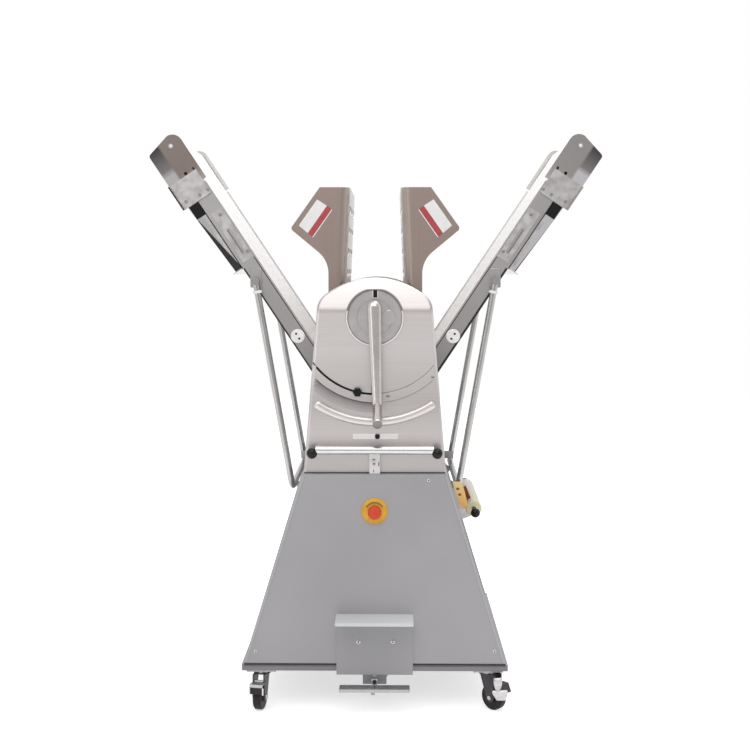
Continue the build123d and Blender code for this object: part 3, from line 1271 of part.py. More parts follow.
                Rectangle(bend, 2 * GUARD_OUT, mode=Mode.SUBTRACT)
        extrude(amount=lean.length, dir=lean.normalized())
        middle_column = (GUARD_SLOT_COLUMNS - 1) / 2
        with BuildSketch(Plane.YZ.offset(sx * GUARD_FACE_X / 2)):
            for row in range(GUARD_SLOT_ROWS):
                for column in range(GUARD_SLOT_COLUMNS):
                    slot_y = MID_Y + (column - middle_column) * GUARD_SLOT_STEP
                    with Locations((slot_y, GUARD_SLOT_FIRST_Z + row * GUARD_SLOT_PITCH)):
                        SlotOverall(GUARD_SLOT_LENGTH, GUARD_SLOT_HEIGHT)
        extrude(amount=sx * GUARD_FACE_X, mode=Mode.SUBTRACT)
    save(guard, f"{side}_guard")

# Seats under the struts' cross bars and a catch over each, on the sides of the base
panel_slope = (BASE_FOOT_HALF - BASE_TOP_HALF) / (BASE_TOP_Z - PAN_TOP)
leave = (sin(radians(FOLD)), -cos(radians(FOLD)))
seat_x = strut_x + leave[1] * (STRUT_R + SLIDE_GAP)
seat_z = STRUT_Z - leave[0] * (STRUT_R + SLIDE_GAP)
seat_run = (seat_x - side_x(seat_z)) / (leave[0] + panel_slope * leave[1])
seat_tip = (seat_x + leave[0] * SEAT_SHEET, seat_z + leave[1] * SEAT_SHEET)
seat_top = (seat_x - leave[0] * seat_run, seat_z - leave[1] * seat_run)
seat_foot = seat_tip[1] - SEAT_DEPTH
catch_low = STRUT_Z + STRUT_R + SHEET
catch_high = catch_low + SEAT_DEPTH + SEAT_SHEET
with BuildPart() as strut_seats:
    for sx in (-1, 1):
        for end in ENDS:
            with BuildSketch(upright(MID_Y + end * SEAT_AT + SEAT_HALF)):
                with BuildLine():
                    Polyline((sx * seat_top[0], seat_top[1]), (sx * seat_tip[0], seat_tip[1]),
                             (sx * side_x(seat_foot), seat_foot), close=True)
                make_face()
            extrude(amount=2 * SEAT_HALF)
        with BuildSketch(upright(MID_Y + CATCH_AT)):
            with BuildLine():
                Polyline((sx * side_x(catch_low), catch_low), (sx * side_x(catch_high), catch_high),
                         (sx * (strut_x + STRUT_R), catch_high), (sx * (strut_x + STRUT_R), catch_low),
                         close=True)
            make_face()
        extrude(amount=CATCH_SHEET)
save(strut_seats, "strut_seats")

# Rolling pin and the cradle it rests in on the right side of the base
lift_out = (cos(radians(PIN_LIFT)), sin(radians(PIN_LIFT)))
notch_r = PIN_R + CRADLE_GAP
notch_mid = (pin_x + lift_out[0] * 2 * PIN_R, PIN_Z + lift_out[1] * 2 * PIN_R)
cradle_out = notch_r + CRADLE_RIM
cradle_tip = (pin_x + cradle_out * lift_out[1] + PIN_R * lift_out[0] / 2,
              PIN_Z - cradle_out * lift_out[0] + PIN_R * lift_out[1] / 2)
cradle_high = PIN_Z + PIN_R + CRADLE_RIM
cradle_low = PIN_Z - 2 * PIN_R
with BuildPart() as pin_cradle:
    for end in ENDS:
        with BuildSketch(upright(MID_Y + end * CRADLE_AT)):
            with BuildLine():
                Polyline((side_x(cradle_high), cradle_high), (side_x(cradle_low), cradle_low),
                         (pin_x, PIN_Z - cradle_out), cradle_tip,
                         (cradle_tip[0] - CRADLE_RIM * lift_out[1], cradle_tip[1] + CRADLE_RIM * lift_out[0]),
                         (pin_x, PIN_Z), close=True)
            make_face()
            with Locations(notch_mid):
                SlotCenterToCenter(4 * PIN_R, 2 * notch_r, rotation=PIN_LIFT, mode=Mode.SUBTRACT)
        extrude(amount=CRADLE_PLATE)
save(pin_cradle, "pin_cradle")

with BuildPart() as rolling_pin:
    pin_plane = upright(MID_Y)
    rods(pin_plane, [(pin_x, PIN_Z)], PIN_R, -PIN_HALF, 2 * PIN_HALF)
    fillet(rolling_pin.edges().filter_by(GeomType.CIRCLE), radius=PIN_R / 5)
    rods(pin_plane, [(pin_x, PIN_Z)], PIN_STEM_R, -PIN_HALF - PIN_STEM, 2 * (PIN_HALF + PIN_STEM))
    ball_at = PIN_HALF + PIN_STEM + PIN_BALL_R - SHEET
    with Locations((pin_x, MID_Y - ball_at, PIN_Z), (pin_x, MID_Y + ball_at, PIN_Z)):
        Sphere(PIN_BALL_R)
save(rolling_pin, "rolling_pin")
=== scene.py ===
# %% [markdown]
# # An electric dough sheeter, dressed for its picture
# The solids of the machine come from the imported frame: a flared base on casters, a domed head with a gap
# lever, and two belt tables folded up in a V with a sheet guard before each. This lesson gives every solid
# its finish, adds the small trim that is too fine for the solids, and sets the studio and the camera.
# Finishes and trim are measured in millimetres, and MM turns them into Blender's metres. The studio is in
# metres.

# %% Load the frame
import json
from math import cos, pi, radians, sin

import bmesh
import bpy
import numpy as np
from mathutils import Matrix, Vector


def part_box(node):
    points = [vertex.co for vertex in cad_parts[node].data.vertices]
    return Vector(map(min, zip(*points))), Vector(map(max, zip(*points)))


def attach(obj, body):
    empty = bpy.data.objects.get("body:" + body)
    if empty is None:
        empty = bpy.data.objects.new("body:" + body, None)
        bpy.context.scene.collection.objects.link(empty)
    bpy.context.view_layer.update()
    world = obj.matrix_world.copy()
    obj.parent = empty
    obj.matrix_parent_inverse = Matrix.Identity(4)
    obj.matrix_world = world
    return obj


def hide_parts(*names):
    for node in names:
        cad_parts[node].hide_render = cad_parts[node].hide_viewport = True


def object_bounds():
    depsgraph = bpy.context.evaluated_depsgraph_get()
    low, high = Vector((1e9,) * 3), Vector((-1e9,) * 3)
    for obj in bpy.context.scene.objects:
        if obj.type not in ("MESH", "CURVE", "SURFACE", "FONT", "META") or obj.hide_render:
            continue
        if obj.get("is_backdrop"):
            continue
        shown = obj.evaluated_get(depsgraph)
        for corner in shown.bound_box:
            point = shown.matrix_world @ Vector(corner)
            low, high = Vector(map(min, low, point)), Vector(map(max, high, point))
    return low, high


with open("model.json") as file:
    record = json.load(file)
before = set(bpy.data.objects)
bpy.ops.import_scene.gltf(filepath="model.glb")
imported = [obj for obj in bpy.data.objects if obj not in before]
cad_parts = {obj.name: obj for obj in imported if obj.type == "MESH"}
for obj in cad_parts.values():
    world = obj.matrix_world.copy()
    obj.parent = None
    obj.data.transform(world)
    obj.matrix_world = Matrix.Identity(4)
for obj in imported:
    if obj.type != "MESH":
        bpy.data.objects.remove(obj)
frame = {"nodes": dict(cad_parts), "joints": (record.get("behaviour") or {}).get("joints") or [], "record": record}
plain_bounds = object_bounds()
MM = 0.001
MID_Y = 39
SIDES = {"left": -1, "right": 1}
ENDS = (-1, 1)

# %% [markdown]
# ## Tools for every finish
# A finish is a small net of shader nodes. Colours are picked as sRGB hex values, as a paint chart gives
# them, and the shader wants linear light, so one function turns the first into the second. A second one
# adds a node, sets it and links it, which keeps each net as short as its description. The rest make a
# noise, measure where a point lies, run one colour into another and feed the shader.

# %% Colour and node tools
def tint(hex_colour):
    """sRGB hex to linear: below 0.04045 divide by 12.92, above it ((c + 0.055) / 1.055) to the power 2.4."""
    srgb = np.array([int(hex_colour[i:i + 2], 16) for i in (1, 3, 5)]) / 255
    linear = np.where(srgb <= 0.04045, srgb / 12.92, ((srgb + 0.055) / 1.055) ** 2.4)
    return (*linear.tolist(), 1.0)


def add(tree, kind, settings=None, links=None):
    """Add one node: settings name its properties or inputs, links name the inputs that outputs feed."""
    node = tree.nodes.new(kind)
    for key, value in (settings or {}).items():
        if isinstance(key, str) and hasattr(node, key):
            setattr(node, key, value)
        else:
            node.inputs[key].default_value = value
    for key, output in (links or {}).items():
        tree.links.new(output, node.inputs[key])
    return node


def new_finish(name, **sockets):
    """Start a finish: a material with one shader whose plain sockets are set, and the object's own places."""
    finish = bpy.data.materials.new(name)
    finish.use_nodes = True
    tree = finish.node_tree
    shader = tree.nodes["Principled BSDF"]
    for key, value in sockets.items():
        shader.inputs[key.replace("_", " ")].default_value = value
    place = add(tree, "ShaderNodeTexCoord").outputs["Object"]
    return finish, tree, shader, place


def noise(tree, place, grain, detail):
    """A noise that wanders over about one grain."""
    node = add(tree, "ShaderNodeTexNoise", {"Scale": 1 / (grain * MM), "Detail": detail}, {"Vector": place})
    return node.outputs[0]


def along(tree, place, axis):
    """One coordinate of a place: X, Y or Z."""
    return add(tree, "ShaderNodeSeparateXYZ", links={"Vector": place}).outputs[axis]


def from_middle(tree, place):
    """How far a point lies from the machine's middle plane: the size of y - MID_Y."""
    centred = add(tree, "ShaderNodeMapping", {"Location": (0, -MID_Y * MM, 0)}, {"Vector": place})
    shift = along(tree, centred.outputs[0], "Y")
    return add(tree, "ShaderNodeMath", {"operation": "ABSOLUTE"}, {0: shift}).outputs[0]


def two_tone(tree, fac, dark, light, low=0.3, high=0.7):
    """A colour that runs from dark to light while fac runs from low to high."""
    ramp = add(tree, "ShaderNodeValToRGB", links={"Fac": fac})
    for stop, colour, where in zip(ramp.color_ramp.elements, (dark, light), (low, high)):
        stop.color = tint(colour)
        stop.position = where
    return ramp.outputs["Color"]


def tone_ramp(tree, value, tones):
    """A colour that runs through (place, tone) pairs while value runs from the first place to the last."""
    first, last = tones[0][0], tones[-1][0]
    share = add(tree, "ShaderNodeMapRange", {"From Min": first * MM, "From Max": last * MM}, {"Value": value})
    ramp = add(tree, "ShaderNodeValToRGB", links={"Fac": share.outputs[0]})
    stops = ramp.color_ramp.elements
    for place, tone in tones[1:-1]:
        stops.new((place - first) / (last - first)).color = tint(tone)
    stops[0].color, stops[len(stops) - 1].color = tint(tones[0][1]), tint(tones[-1][1])
    return ramp.outputs["Color"]


def blended(tree, value, low, high, first, second):
    """The first colour where value is at low, the second where it is at high, and a soft step between."""
    step = add(tree, "ShaderNodeMapRange", {"From Min": low * MM, "From Max": high * MM}, {"Value": value})
    mix = add(tree, "ShaderNodeMix", {"data_type": "RGBA"},
              {"Factor": step.outputs[0], "A": first, "B": second})
    return mix.outputs["Result"]


def multiplied(tree, first, second):
    """Two colours multiplied, so that a pale grain darkens a tone a little."""
    mix = add(tree, "ShaderNodeMix", {"data_type": "RGBA", "blend_type": "MULTIPLY", "Factor": 1.0},
              {"A": first, "B": second})
    return mix.outputs["Result"]


def paint(tree, shader, colour):
    """Give the shader its colour."""
    tree.links.new(colour, shader.inputs["Base Color"])


def roughen(tree, shader, value, low, high):
    """Let the shader's roughness run from low to high with a value."""
    spread = add(tree, "ShaderNodeMapRange", {"To Min": low, "To Max": high}, {"Value": value})
    tree.links.new(spread.outputs[0], shader.inputs["Roughness"])


def ripple(tree, shader, value, strength):
    """Bend the shader's highlights as if value were a height of up to a millimetre."""
    bump = add(tree, "ShaderNodeBump", {"Strength": strength, "Distance": 1 * MM}, {"Height": value})
    tree.links.new(bump.outputs[0], shader.inputs["Normal"])


print("white paint is", tint("#FFFFFF"))

# %% [markdown]
# ## Brushed sheet steel
# The head, the guards and the plates are stainless sheet, rubbed with a grit belt before it was bent. The
# belt leaves fine lines one way, which draw a highlight out across them. Here a noise is stretched along
# the lines. Real lines are about 0.2 mm apart and would not show from 4 m, so they are drawn 2 mm apart.

# %% Brushed steel
LINE_LENGTH = 260
LINE_WIDTH = 2


def brush_lines(tree, place, axis):
    """A noise stretched along one axis, as a grit belt draws its lines."""
    reach = [1 / (LINE_WIDTH * MM)] * 3
    reach["xyz".index(axis)] = 1 / (LINE_LENGTH * MM)
    lines = add(tree, "ShaderNodeMapping", {"Scale": reach}, {"Vector": place})
    node = add(tree, "ShaderNodeTexNoise", {"Scale": 1.0, "Detail": 3.0}, {"Vector": lines.outputs[0]})
    return node.outputs[0]


def brushed_steel(name, dark, light, roughness, axis):
    """Satin metal: its lines tint it and change its roughness a little."""
    finish, tree, shader, place = new_finish(name, Metallic=0.85, Roughness=roughness)
    lines = brush_lines(tree, place, axis)
    paint(tree, shader, two_tone(tree, lines, dark, light))
    roughen(tree, shader, lines, roughness - 0.03, roughness + 0.03)
    return finish


finishes = {
    "brushed_steel": brushed_steel("brushed stainless sheet", "#CAC5C4", "#D2CDCC", 0.34, "x"),
    "pulley_steel": brushed_steel("turned steel", "#8C8C8E", "#A3A3A5", 0.32, "y"),
}
print("brushed:", *finishes)

# %% [markdown]
# ## Guards: painted taupe reflection on the wings, bright web
# A guard is one folded sheet. Its wings carry a taupe tone, a painted reflection, and the slotted web
# between them is bright. The wings lie far from the machine's middle, so that distance picks the tone.

# %% Guard steel
WEB_REACH = (250, 263)
finishes["guard_steel"], tree, shader, place = new_finish(
    "brushed guard steel with painted reflection", Metallic=0.85, Roughness=0.36)
lines = brush_lines(tree, place, "z")
web = two_tone(tree, lines, "#CDC9C6", "#D5D1CE")
# the wings' taupe tone is a painted reflection
wing = two_tone(tree, lines, "#998982", "#A09089")
paint(tree, shader, blended(tree, from_middle(tree, place), *WEB_REACH, web, wing))
print("the web ends", WEB_REACH[0], "mm from the middle")

# %% [markdown]
# ## Front cover: painted light and shade by height
# Above a soft crease the front cover leans back and catches more light. The real sheet turns over a wide
# bend, so its brightness rises slowly, where the solid has a plain fold. Below the arc band and again at
# its foot the sheet is darker, in shade. A few tones laid by height paint both, the light and the shade.

# %% Cover steel
# painted light and shade: bright on the lean, darker under the band and at the foot
COVER_LIGHT_AND_SHADE_TONES = [(745, "#BAB5B4"), (850, "#C9C4C3"), (940, "#BDB8B7"), (1100, "#D7D2D1"), (1205, "#D7D2D1"),
               (1222, "#B6B1B0"), (1315, "#C6C3C2")]
finishes["cover_steel"], tree, shader, place = new_finish(
    "brushed stainless cover with painted light and shade", Metallic=0.85, Roughness=0.34)
grain = two_tone(tree, brush_lines(tree, place, "x"), "#F6F4F4", "#FFFFFF")
height = tone_ramp(tree, along(tree, place, "Z"), COVER_LIGHT_AND_SHADE_TONES)
paint(tree, shader, multiplied(tree, height, grain))
print("cover tones:", len(COVER_LIGHT_AND_SHADE_TONES))

# %% [markdown]
# ## Rails that darken towards the head
# The photograph shows the steel rails darker towards the head. Tones laid by height, as the tables stand
# folded, keep that on the steel in every pose.

# %% Rail steel
RAIL_TONES = [(980, "#8F8B8B"), (1150, "#A5A2A2"), (1350, "#B0ADAD")]
finishes["rail_steel"], tree, shader, place = new_finish("rolled rail steel", Metallic=0.85, Roughness=0.36)
sheen = two_tone(tree, noise(tree, place, LINE_LENGTH, 3.0), "#F2F0F0", "#FFFFFF")
height = tone_ramp(tree, along(tree, place, "Z"), RAIL_TONES)
paint(tree, shader, multiplied(tree, height, sheen))
print("rail tones:", len(RAIL_TONES))

# %% [markdown]
# ## Grey powder paint
# The base is folded sheet with baked powder paint. Powder melts into a skin with a faint orange peel, about
# 3 mm from swell to swell, and a satin gloss. A soft cloud tone keeps large panels from looking like flat
# fill.

# %% Painted grey
PEEL = 3
CLOUD = 400


def powder_paint(name, dark, light):
    """Satin paint: a broad cloud tints it, and a fine swell bends its highlights."""
    finish, tree, shader, place = new_finish(name, Roughness=0.42, IOR=1.5)
    cloud = noise(tree, place, CLOUD, 2.0)
    paint(tree, shader, two_tone(tree, cloud, dark, light))
    ripple(tree, shader, noise(tree, place, PEEL, 1.0), 0.05)
    return finish


painted = {
    "painted_grey": ("grey powder paint", "#A09EA1", "#AAA8AB"),
    "pan_grey": ("shaded pan paint", "#7D7B7F", "#878589"),
    "frame_steel": ("pale grey frame paint", "#A9A7A9", "#B3B1B3"),
    "motor_alloy": ("blue grey motor paint", "#565D63", "#666D73"),
}
finishes.update({slot: powder_paint(*look) for slot, look in painted.items()})
print("painted:", *painted)

# %% [markdown]
# ## Chrome, ground rollers and castings
# The struts and the handlebar are chromed tube, the sheeting rollers are ground and hard chromed, and the
# lever and the dial are cast alloy blasted to a satin skin. All are bare metal, so they differ in how rough
# they are and in how far their tone wanders: over 80 mm on chrome, over 40 mm on a casting or on plated
# sheet. Caster forks and the right brake's arm carry a dark passivated skin.

# %% Bright metals
GRAIN = 40


def bright_metal(name, dark, light, roughness, grain, metallic=1.0):
    """Bare metal whose tone and roughness wander from grain to grain."""
    finish, tree, shader, place = new_finish(name, Metallic=metallic, Roughness=roughness)
    cloud = noise(tree, place, grain, 2.0)
    paint(tree, shader, two_tone(tree, cloud, dark, light))
    roughen(tree, shader, cloud, roughness * 0.85, roughness * 1.15)
    return finish


bright = {
    "chrome": ("chromed tube", "#C2C1C1", "#CCCBCB", 0.18, 80),
    "ground_steel": ("hard chromed roller", "#C2C2C3", "#CCCCCD", 0.20, 60),
    "cast_alloy": ("satin cast alloy", "#BFBAB9", "#C7C2C1", 0.20, GRAIN, 0.9),
    # the plate steel's wide mottle is a painted reflection
    "bracket_steel": ("plate steel mottled with painted reflection", "#B4B0AF", "#D4D1D1", 0.30, 30, 0.85),
    "zinc": ("zinc plated pressing", "#B4B4B6", "#BEBEC0", 0.34, GRAIN, 0.9),
    "dial_alloy": ("blasted dial alloy", "#B9B4B4", "#C2BDBD", 0.34, GRAIN, 0.9),
    "strut_chrome": ("brushed chrome tube", "#ABAAA9", "#B6B5B4", 0.24, 80),
    "catch_grey": ("greyed zinc catch", "#A5A3A4", "#B0AEAF", 0.36, GRAIN, 0.9),
    "plate_zinc": ("worn zinc plate", "#858487", "#A5A4A6", 0.32, 12, 0.9),
    "fork_dark": ("dark passivated fork", "#3E3B3D", "#4A4749", 0.38, GRAIN, 0.7),
}
finishes.update({slot: bright_metal(*look) for slot, look in bright.items()})
print("bright:", *bright)

# %% [markdown]
# ## Woven belt
# Each table carries an endless belt of white woven cloth. A weave is two waves crossed: one along the belt
# and one across it. The belt lies at the table's slope, so a Mapping node turns the pattern about Y to lie
# flat on it. Threads 1 mm apart would not show from 4 m, so the waves are drawn 31 mm from crest to crest,
# as a faint unevenness of the cloth.

# %% Belt cloth
CREST = 10 * pi
WAVE_RATE = 20
FOLD = radians(56.45)


def belt_cloth(name, turn):
    """Crossed waves lift and tint the cloth. A wave turns by WAVE_RATE radians in each unit of its scale."""
    finish, tree, shader, place = new_finish(name, Roughness=0.75, Sheen_Weight=0.15)
    flat = add(tree, "ShaderNodeMapping", {"Rotation": (0, turn, 0)}, {"Vector": place}).outputs[0]
    scale = 2 * pi / (CREST * MM) / WAVE_RATE
    waves = [add(tree, "ShaderNodeTexWave", {"bands_direction": way, "Scale": scale}, {"Vector": flat})
             for way in "XY"]
    weave = add(tree, "ShaderNodeMath", {"operation": "MULTIPLY"},
                {i: wave.outputs[1] for i, wave in enumerate(waves)}).outputs[0]
    paint(tree, shader, two_tone(tree, weave, "#EDEBEA", "#F3F1F0", 0.0, 1.0))
    ripple(tree, shader, weave, 0.06)
    return finish


belts = {side: belt_cloth(f"white belt cloth {side}", sx * FOLD) for side, sx in SIDES.items()}
print("belts:", *belts)

# %% [markdown]
# ## Polished end trays
# The cheeks and the tray at a table's outer end are polished sheet, and their look is mostly what they
# reflect: pale by the bracket, taupe or grey towards the lobe and dark at the lower corner. A true mirror
# would show only this plain studio, so three tones laid along the table's own u, once for the face and once
# for its lower skirt, paint that reflection and the shade at the lower corner from every side. The inner
# faces stay pale.

# %% Mirror tones of the trays
PIVOT = (85, 898)
ALONG = PIVOT[0] * cos(FOLD) + PIVOT[1] * sin(FOLD)
ACROSS = PIVOT[1] * cos(FOLD) - PIVOT[0] * sin(FOLD)
# painted reflection on the face; on the skirt painted reflection that darkens to shade at the lower corner
FACE_REFLECTION_TONES = {"left": [(820, "#C6C4C4"), (890, "#94867F"), (1000, "#938883")],
              "right": [(820, "#CCCBCB"), (890, "#A9A4A2"), (1000, "#A29E9D")]}
SKIRT_REFLECTION_AND_SHADE_TONES = {"left": [(905, "#C3C1C0"), (925, "#8A8685"), (1000, "#484546")],
               "right": [(912, "#D4D2D5"), (930, "#8E8A89"), (1000, "#4C494A")]}
INSIDE_TONES = [(0, "#D3D0CD"), (1000, "#D8D5D2")]
SKIRT = (-30, -38)
CHEEK_INSIDE = (270.3, 270.8)


def polished_tray(name, side):
    """Turn the place by the fold about Y: x is then u and z is v. Tones by u, for the face and for low v."""
    sx = SIDES[side]
    finish, tree, shader, place = new_finish(name, Metallic=0.85, Roughness=0.22)
    turn = FOLD if sx > 0 else pi - FOLD
    turned = add(tree, "ShaderNodeMapping", {"Rotation": (0, turn, 0)}, {"Vector": place}).outputs[0]
    face, skirt, inside = (
        tone_ramp(tree, along(tree, turned, "X"), [(ALONG + u, tone) for u, tone in tones])
        for tones in (FACE_REFLECTION_TONES[side], SKIRT_REFLECTION_AND_SHADE_TONES[side], INSIDE_TONES))
    height = add(tree, "ShaderNodeMath", {"operation": "MULTIPLY_ADD", 1: sx, 2: -ACROSS * MM},
                 {0: along(tree, turned, "Z")})
    outside = blended(tree, height.outputs[0], *SKIRT, face, skirt)
    shown = blended(tree, from_middle(tree, place), *CHEEK_INSIDE, inside, outside)
    paint(tree, shader, shown)
    return finish


trays = {side: polished_tray(f"polished tray steel {side}", side) for side in SIDES}
print("trays:", *trays)

# %% [markdown]
# ## Plastics and rubber
# Balls and star knob are pressed from glossy black phenolic; the stop button and its collar are moulded in
# signal red and yellow; scrapers are white food plastic; wheels and drive belt are rubber. Moulded skins
# show a faint flow in their tone, and rubber a matt bloom, so all share one net with different tone, gloss
# and grain.

# %% Moulded pieces
def moulded(name, dark, light, roughness, grain, gloss=0.5):
    """Moulded skin: tone that wanders over one grain, and a gloss that is lower on dusty or matt skins."""
    finish, tree, shader, place = new_finish(name, Roughness=roughness, IOR=1.5, Specular_IOR_Level=gloss)
    flow = noise(tree, place, grain, 3.0)
    paint(tree, shader, two_tone(tree, flow, dark, light))
    ripple(tree, shader, flow, 0.02)
    return finish


plastics = {
    "black_plastic": ("black phenolic", "#0E0C0D", "#161415", 0.22, 20, 0.25),
    "estop_yellow": ("yellow moulded collar", "#DDA21A", "#E8B43A", 0.35, 15),
    "estop_red": ("red moulded button", "#CE3512", "#DA451A", 0.42, 10),
    "scraper_plastic": ("white food plastic", "#E3E1DC", "#ECEAE6", 0.45, 30),
    "grey_nylon": ("dark nylon gland", "#2C2C2F", "#3A3A3D", 0.5, 8),
    "black_rubber": ("black drive belt rubber", "#1C1A1A", "#2A2827", 0.7, 10),
    "tyre_dark": ("dark rubber wheel", "#1C1716", "#282220", 0.5, 12, 0.25),
}
finishes.update({slot: moulded(*look) for slot, look in plastics.items()})
print("moulded:", *plastics)

# %% [markdown]
# ## The rolling pin
# The pin is one solid with a cream body and black stems and balls. The border lies at a fixed distance from
# the machine's middle along Y, so the distance itself picks the colour. The body is yellower at its near
# end.

# %% Cream and black pin
PIN_HALF = 215.5
CREAM_TONES = [(MID_Y - PIN_HALF, "#EFE7C2"), (MID_Y, "#E9E4D6"), (MID_Y + PIN_HALF, "#E6E3DC")]
WIDE = 1000  # a ramp as wide as this is nearly one tone
finishes["pin_cream"], tree, shader, place = new_finish(
    "cream pin with black handles", Roughness=0.38, IOR=1.5, Specular_IOR_Level=0.25)
cream = tone_ramp(tree, along(tree, place, "Y"), CREAM_TONES)
black = tone_ramp(tree, along(tree, place, "Y"), [(-WIDE, "#0F0D0D"), (WIDE, "#121010")])
paint(tree, shader, blended(tree, from_middle(tree, place), PIN_HALF, PIN_HALF + 0.5, cream, black))
print("pin turns black", PIN_HALF, "mm from the middle")

# %% [markdown]
# ## Foot guard with a pale ledge, top plate with a steel post
# The foot guard's ledge faces the light, and the photograph shows it far paler than the upright sheet
# below, which keeps the base's paint. The plate that closes the base has that paint too, and the
# handlebar's post welded on it is bare steel. Each is one solid, so its height picks the tone.

# %% Paint by height
def by_height(name, heights, low_tones, high_tones, grain, **sockets):
    """One cloud tints two pairs of tones, and the height of a point picks the pair."""
    finish, tree, shader, place = new_finish(name, **sockets)
    cloud = noise(tree, place, grain, 2.0)
    low, high = (two_tone(tree, cloud, *tones) for tones in (low_tones, high_tones))
    paint(tree, shader, blended(tree, along(tree, place, "Z"), *heights, low, high))
    return finish


BASE_PAINT = ("#9E9C9F", "#A8A6A9")
guard_top, panel_top = (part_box(node)[1][2] / MM for node in ("pedal_guard", "front_panel"))
ledge_z = (guard_top - 34, guard_top - 30)
post_z = (panel_top + 5, panel_top + 6)
# the ledge's pale tones are a painted highlight
finishes["guard_paint"] = by_height("grey guard paint with a painted highlight on the ledge", ledge_z, BASE_PAINT,
                                    ("#D2D4D6", "#DBDDDF"), CLOUD, Roughness=0.42, IOR=1.5)
finishes["top_plate"] = by_height("painted plate with bare post", post_z, BASE_PAINT,
                                  ("#CFCBCA", "#DBD7D6"), GRAIN, Metallic=0.4, Roughness=0.38)
print("the ledge starts at", round(ledge_z[1]), "mm, the post at", round(post_z[1]), "mm")

# %% [markdown]
# ## The open brake
# The left brake is a bright bow over the wheel, with dark space below its bend. The solid is closed there,
# so a dark tone below the bend stands for that space.

# %% Brake by height
BEND_Z = (79, 81)
finishes["brake_open"], tree, shader, place = new_finish("open brake bow", Metallic=0.7, Roughness=0.34)
shadow, shine = (tone_ramp(tree, along(tree, place, "Y"), [(-WIDE, dark), (WIDE, light)])
                 for dark, light in (("#2B2626", "#332E2E"), ("#B0AFB1", "#BAB9BB")))
paint(tree, shader, blended(tree, along(tree, place, "Z"), *BEND_Z, shadow, shine))
print("the bow bends at", BEND_Z[1], "mm")

# %% [markdown]
# ## Painting the solids
# The record names a finish slot for every solid. Each one gets the material made above for that slot; the
# belts and trays take the one turned to their own slope, and the cover, the dial, the struts, the casters
# and a few plates their own tones.

# %% Finish every solid
OWN_FINISH = {
    "front_cover": "cover_steel", "dial_plate": "dial_alloy", "base_top": "top_plate", "base_pan": "pan_grey",
    "pedal_guard": "guard_paint", "strut_seats": "catch_grey", "caster_plates": "plate_zinc",
    "left_strut": "strut_chrome", "right_strut": "strut_chrome", "caster_brake_front_left": "brake_open",
    "caster_brake_front_right": "fork_dark",
}
for part in frame["record"]["subparts"]:
    node = frame["nodes"][part["node"]]
    finish = finishes.get(part["material_slot"])
    first, _, rest = part["node"].partition("_")
    if first in SIDES and rest in ("belt", "end_tray"):
        finish = (belts if rest == "belt" else trays)[first]
    if rest.startswith("fork"):
        finish = finishes["fork_dark"]
    finish = finishes.get(OWN_FINISH.get(part["node"]), finish)
    node.data.materials.clear()
    node.data.materials.append(finish)
print("painted", len(frame["nodes"]), "solids")

# %% [markdown]
# ## One way to make all the trim
# Screws, caps, plates and labels are all a flat outline carried through a profile: each row of the profile
# says how far the outline is drawn in and how high it stands. Circles give turned pieces, six corners give
# a nut, rounded polygons give plates. The rows make a grid, which closes at a centre point at both ends.
# Creases and rims on the round dial are a small rectangle carried along an arc, and a ball is a stack of
# circles.

# %% Outlines, profiles and placing
TO_OPERATOR = ((1, 0, 0), (0, 0, 1))
UPWARD = ((1, 0, 0), (0, 1, 0))
FACING = {-1: TO_OPERATOR, 1: ((-1, 0, 0), (0, 0, 1))}
WELD = 1e-6
SHARP = radians(35)


def circle(radius, steps=36):
    """Points radius * (cos t, sin t) while t goes once round."""
    t = np.linspace(0, 2 * pi, steps, endpoint=False)
    return radius * np.stack([np.cos(t), np.sin(t)], axis=-1)


def rounded(corners, radius, steps=5):
    """Polygon with round corners: at each corner an arc from one edge's normal to the next one's."""
    corners = np.asarray(corners, float)
    if np.cross(corners, np.roll(corners, -1, 0)).sum() < 0:
        corners = corners[::-1]
    ahead = np.roll(corners, -1, 0) - corners
    ahead /= np.linalg.norm(ahead, axis=1, keepdims=True)
    behind = np.roll(ahead, 1, 0)
    start = np.arctan2(-behind[:, 0], behind[:, 1])
    turn = np.arctan2(np.cross(behind, ahead), (behind * ahead).sum(1))
    middle = corners + (ahead - behind) * (radius / np.sin(turn))[:, None]
    t = start[:, None] + turn[:, None] * np.linspace(0, 1, steps)
    return (middle[:, None] + radius * np.stack([np.cos(t), np.sin(t)], -1)).reshape(-1, 2)


def rectangle(width, height, radius):
    """Rounded rectangle about the origin."""
    corners = np.array([[-1, -1], [1, -1], [1, 1], [-1, 1]]) * (width / 2, height / 2)
    return rounded(corners, radius)


def press_rows(outline, profile):
    """The outline in rows, moved in along its normals and lifted by the profile, closed at two centres."""
    profile = np.asarray(profile, float)
    run = np.roll(outline, -1, 0) - np.roll(outline, 1, 0)
    normal = np.stack([run[:, 1], -run[:, 0]], -1) / np.linalg.norm(run, axis=1, keepdims=True)
    flat = outline[None] - profile[:, None, :1] * normal[None]
    middle = np.broadcast_to(flat[[0, -1]].mean(1, keepdims=True), (2, *outline.shape))
    flat = np.concatenate([middle[:1], flat, middle[1:]])
    height = np.concatenate([profile[:1, 1], profile[:, 1], profile[-1:, 1]])
    return np.concatenate([flat, np.broadcast_to(height[:, None, None], (*flat.shape[:2], 1))], -1)


def bead_rows(radius, half, thick, reach, steps=96, power=2.6):
    """A bead along an arc: its section is |x/half|^p + |h/thick|^p = 1, drawn to a point at both ends."""
    tip = np.degrees(half / radius)
    t = np.linspace(-reach - tip, reach + tip, steps)
    taper = np.sqrt(1 - np.clip((np.abs(t) - reach) / tip, 0, 1) ** 2)[:, None]
    a = np.linspace(0, pi, 17)[None]
    side = radius + taper * half * np.sign(np.cos(a)) * np.abs(np.cos(a)) ** (2 / power)
    height = taper * thick * np.sin(a) ** (2 / power)
    t = np.radians(t)[:, None]
    return np.stack([side * np.sin(t), -side * np.cos(t), height], -1)


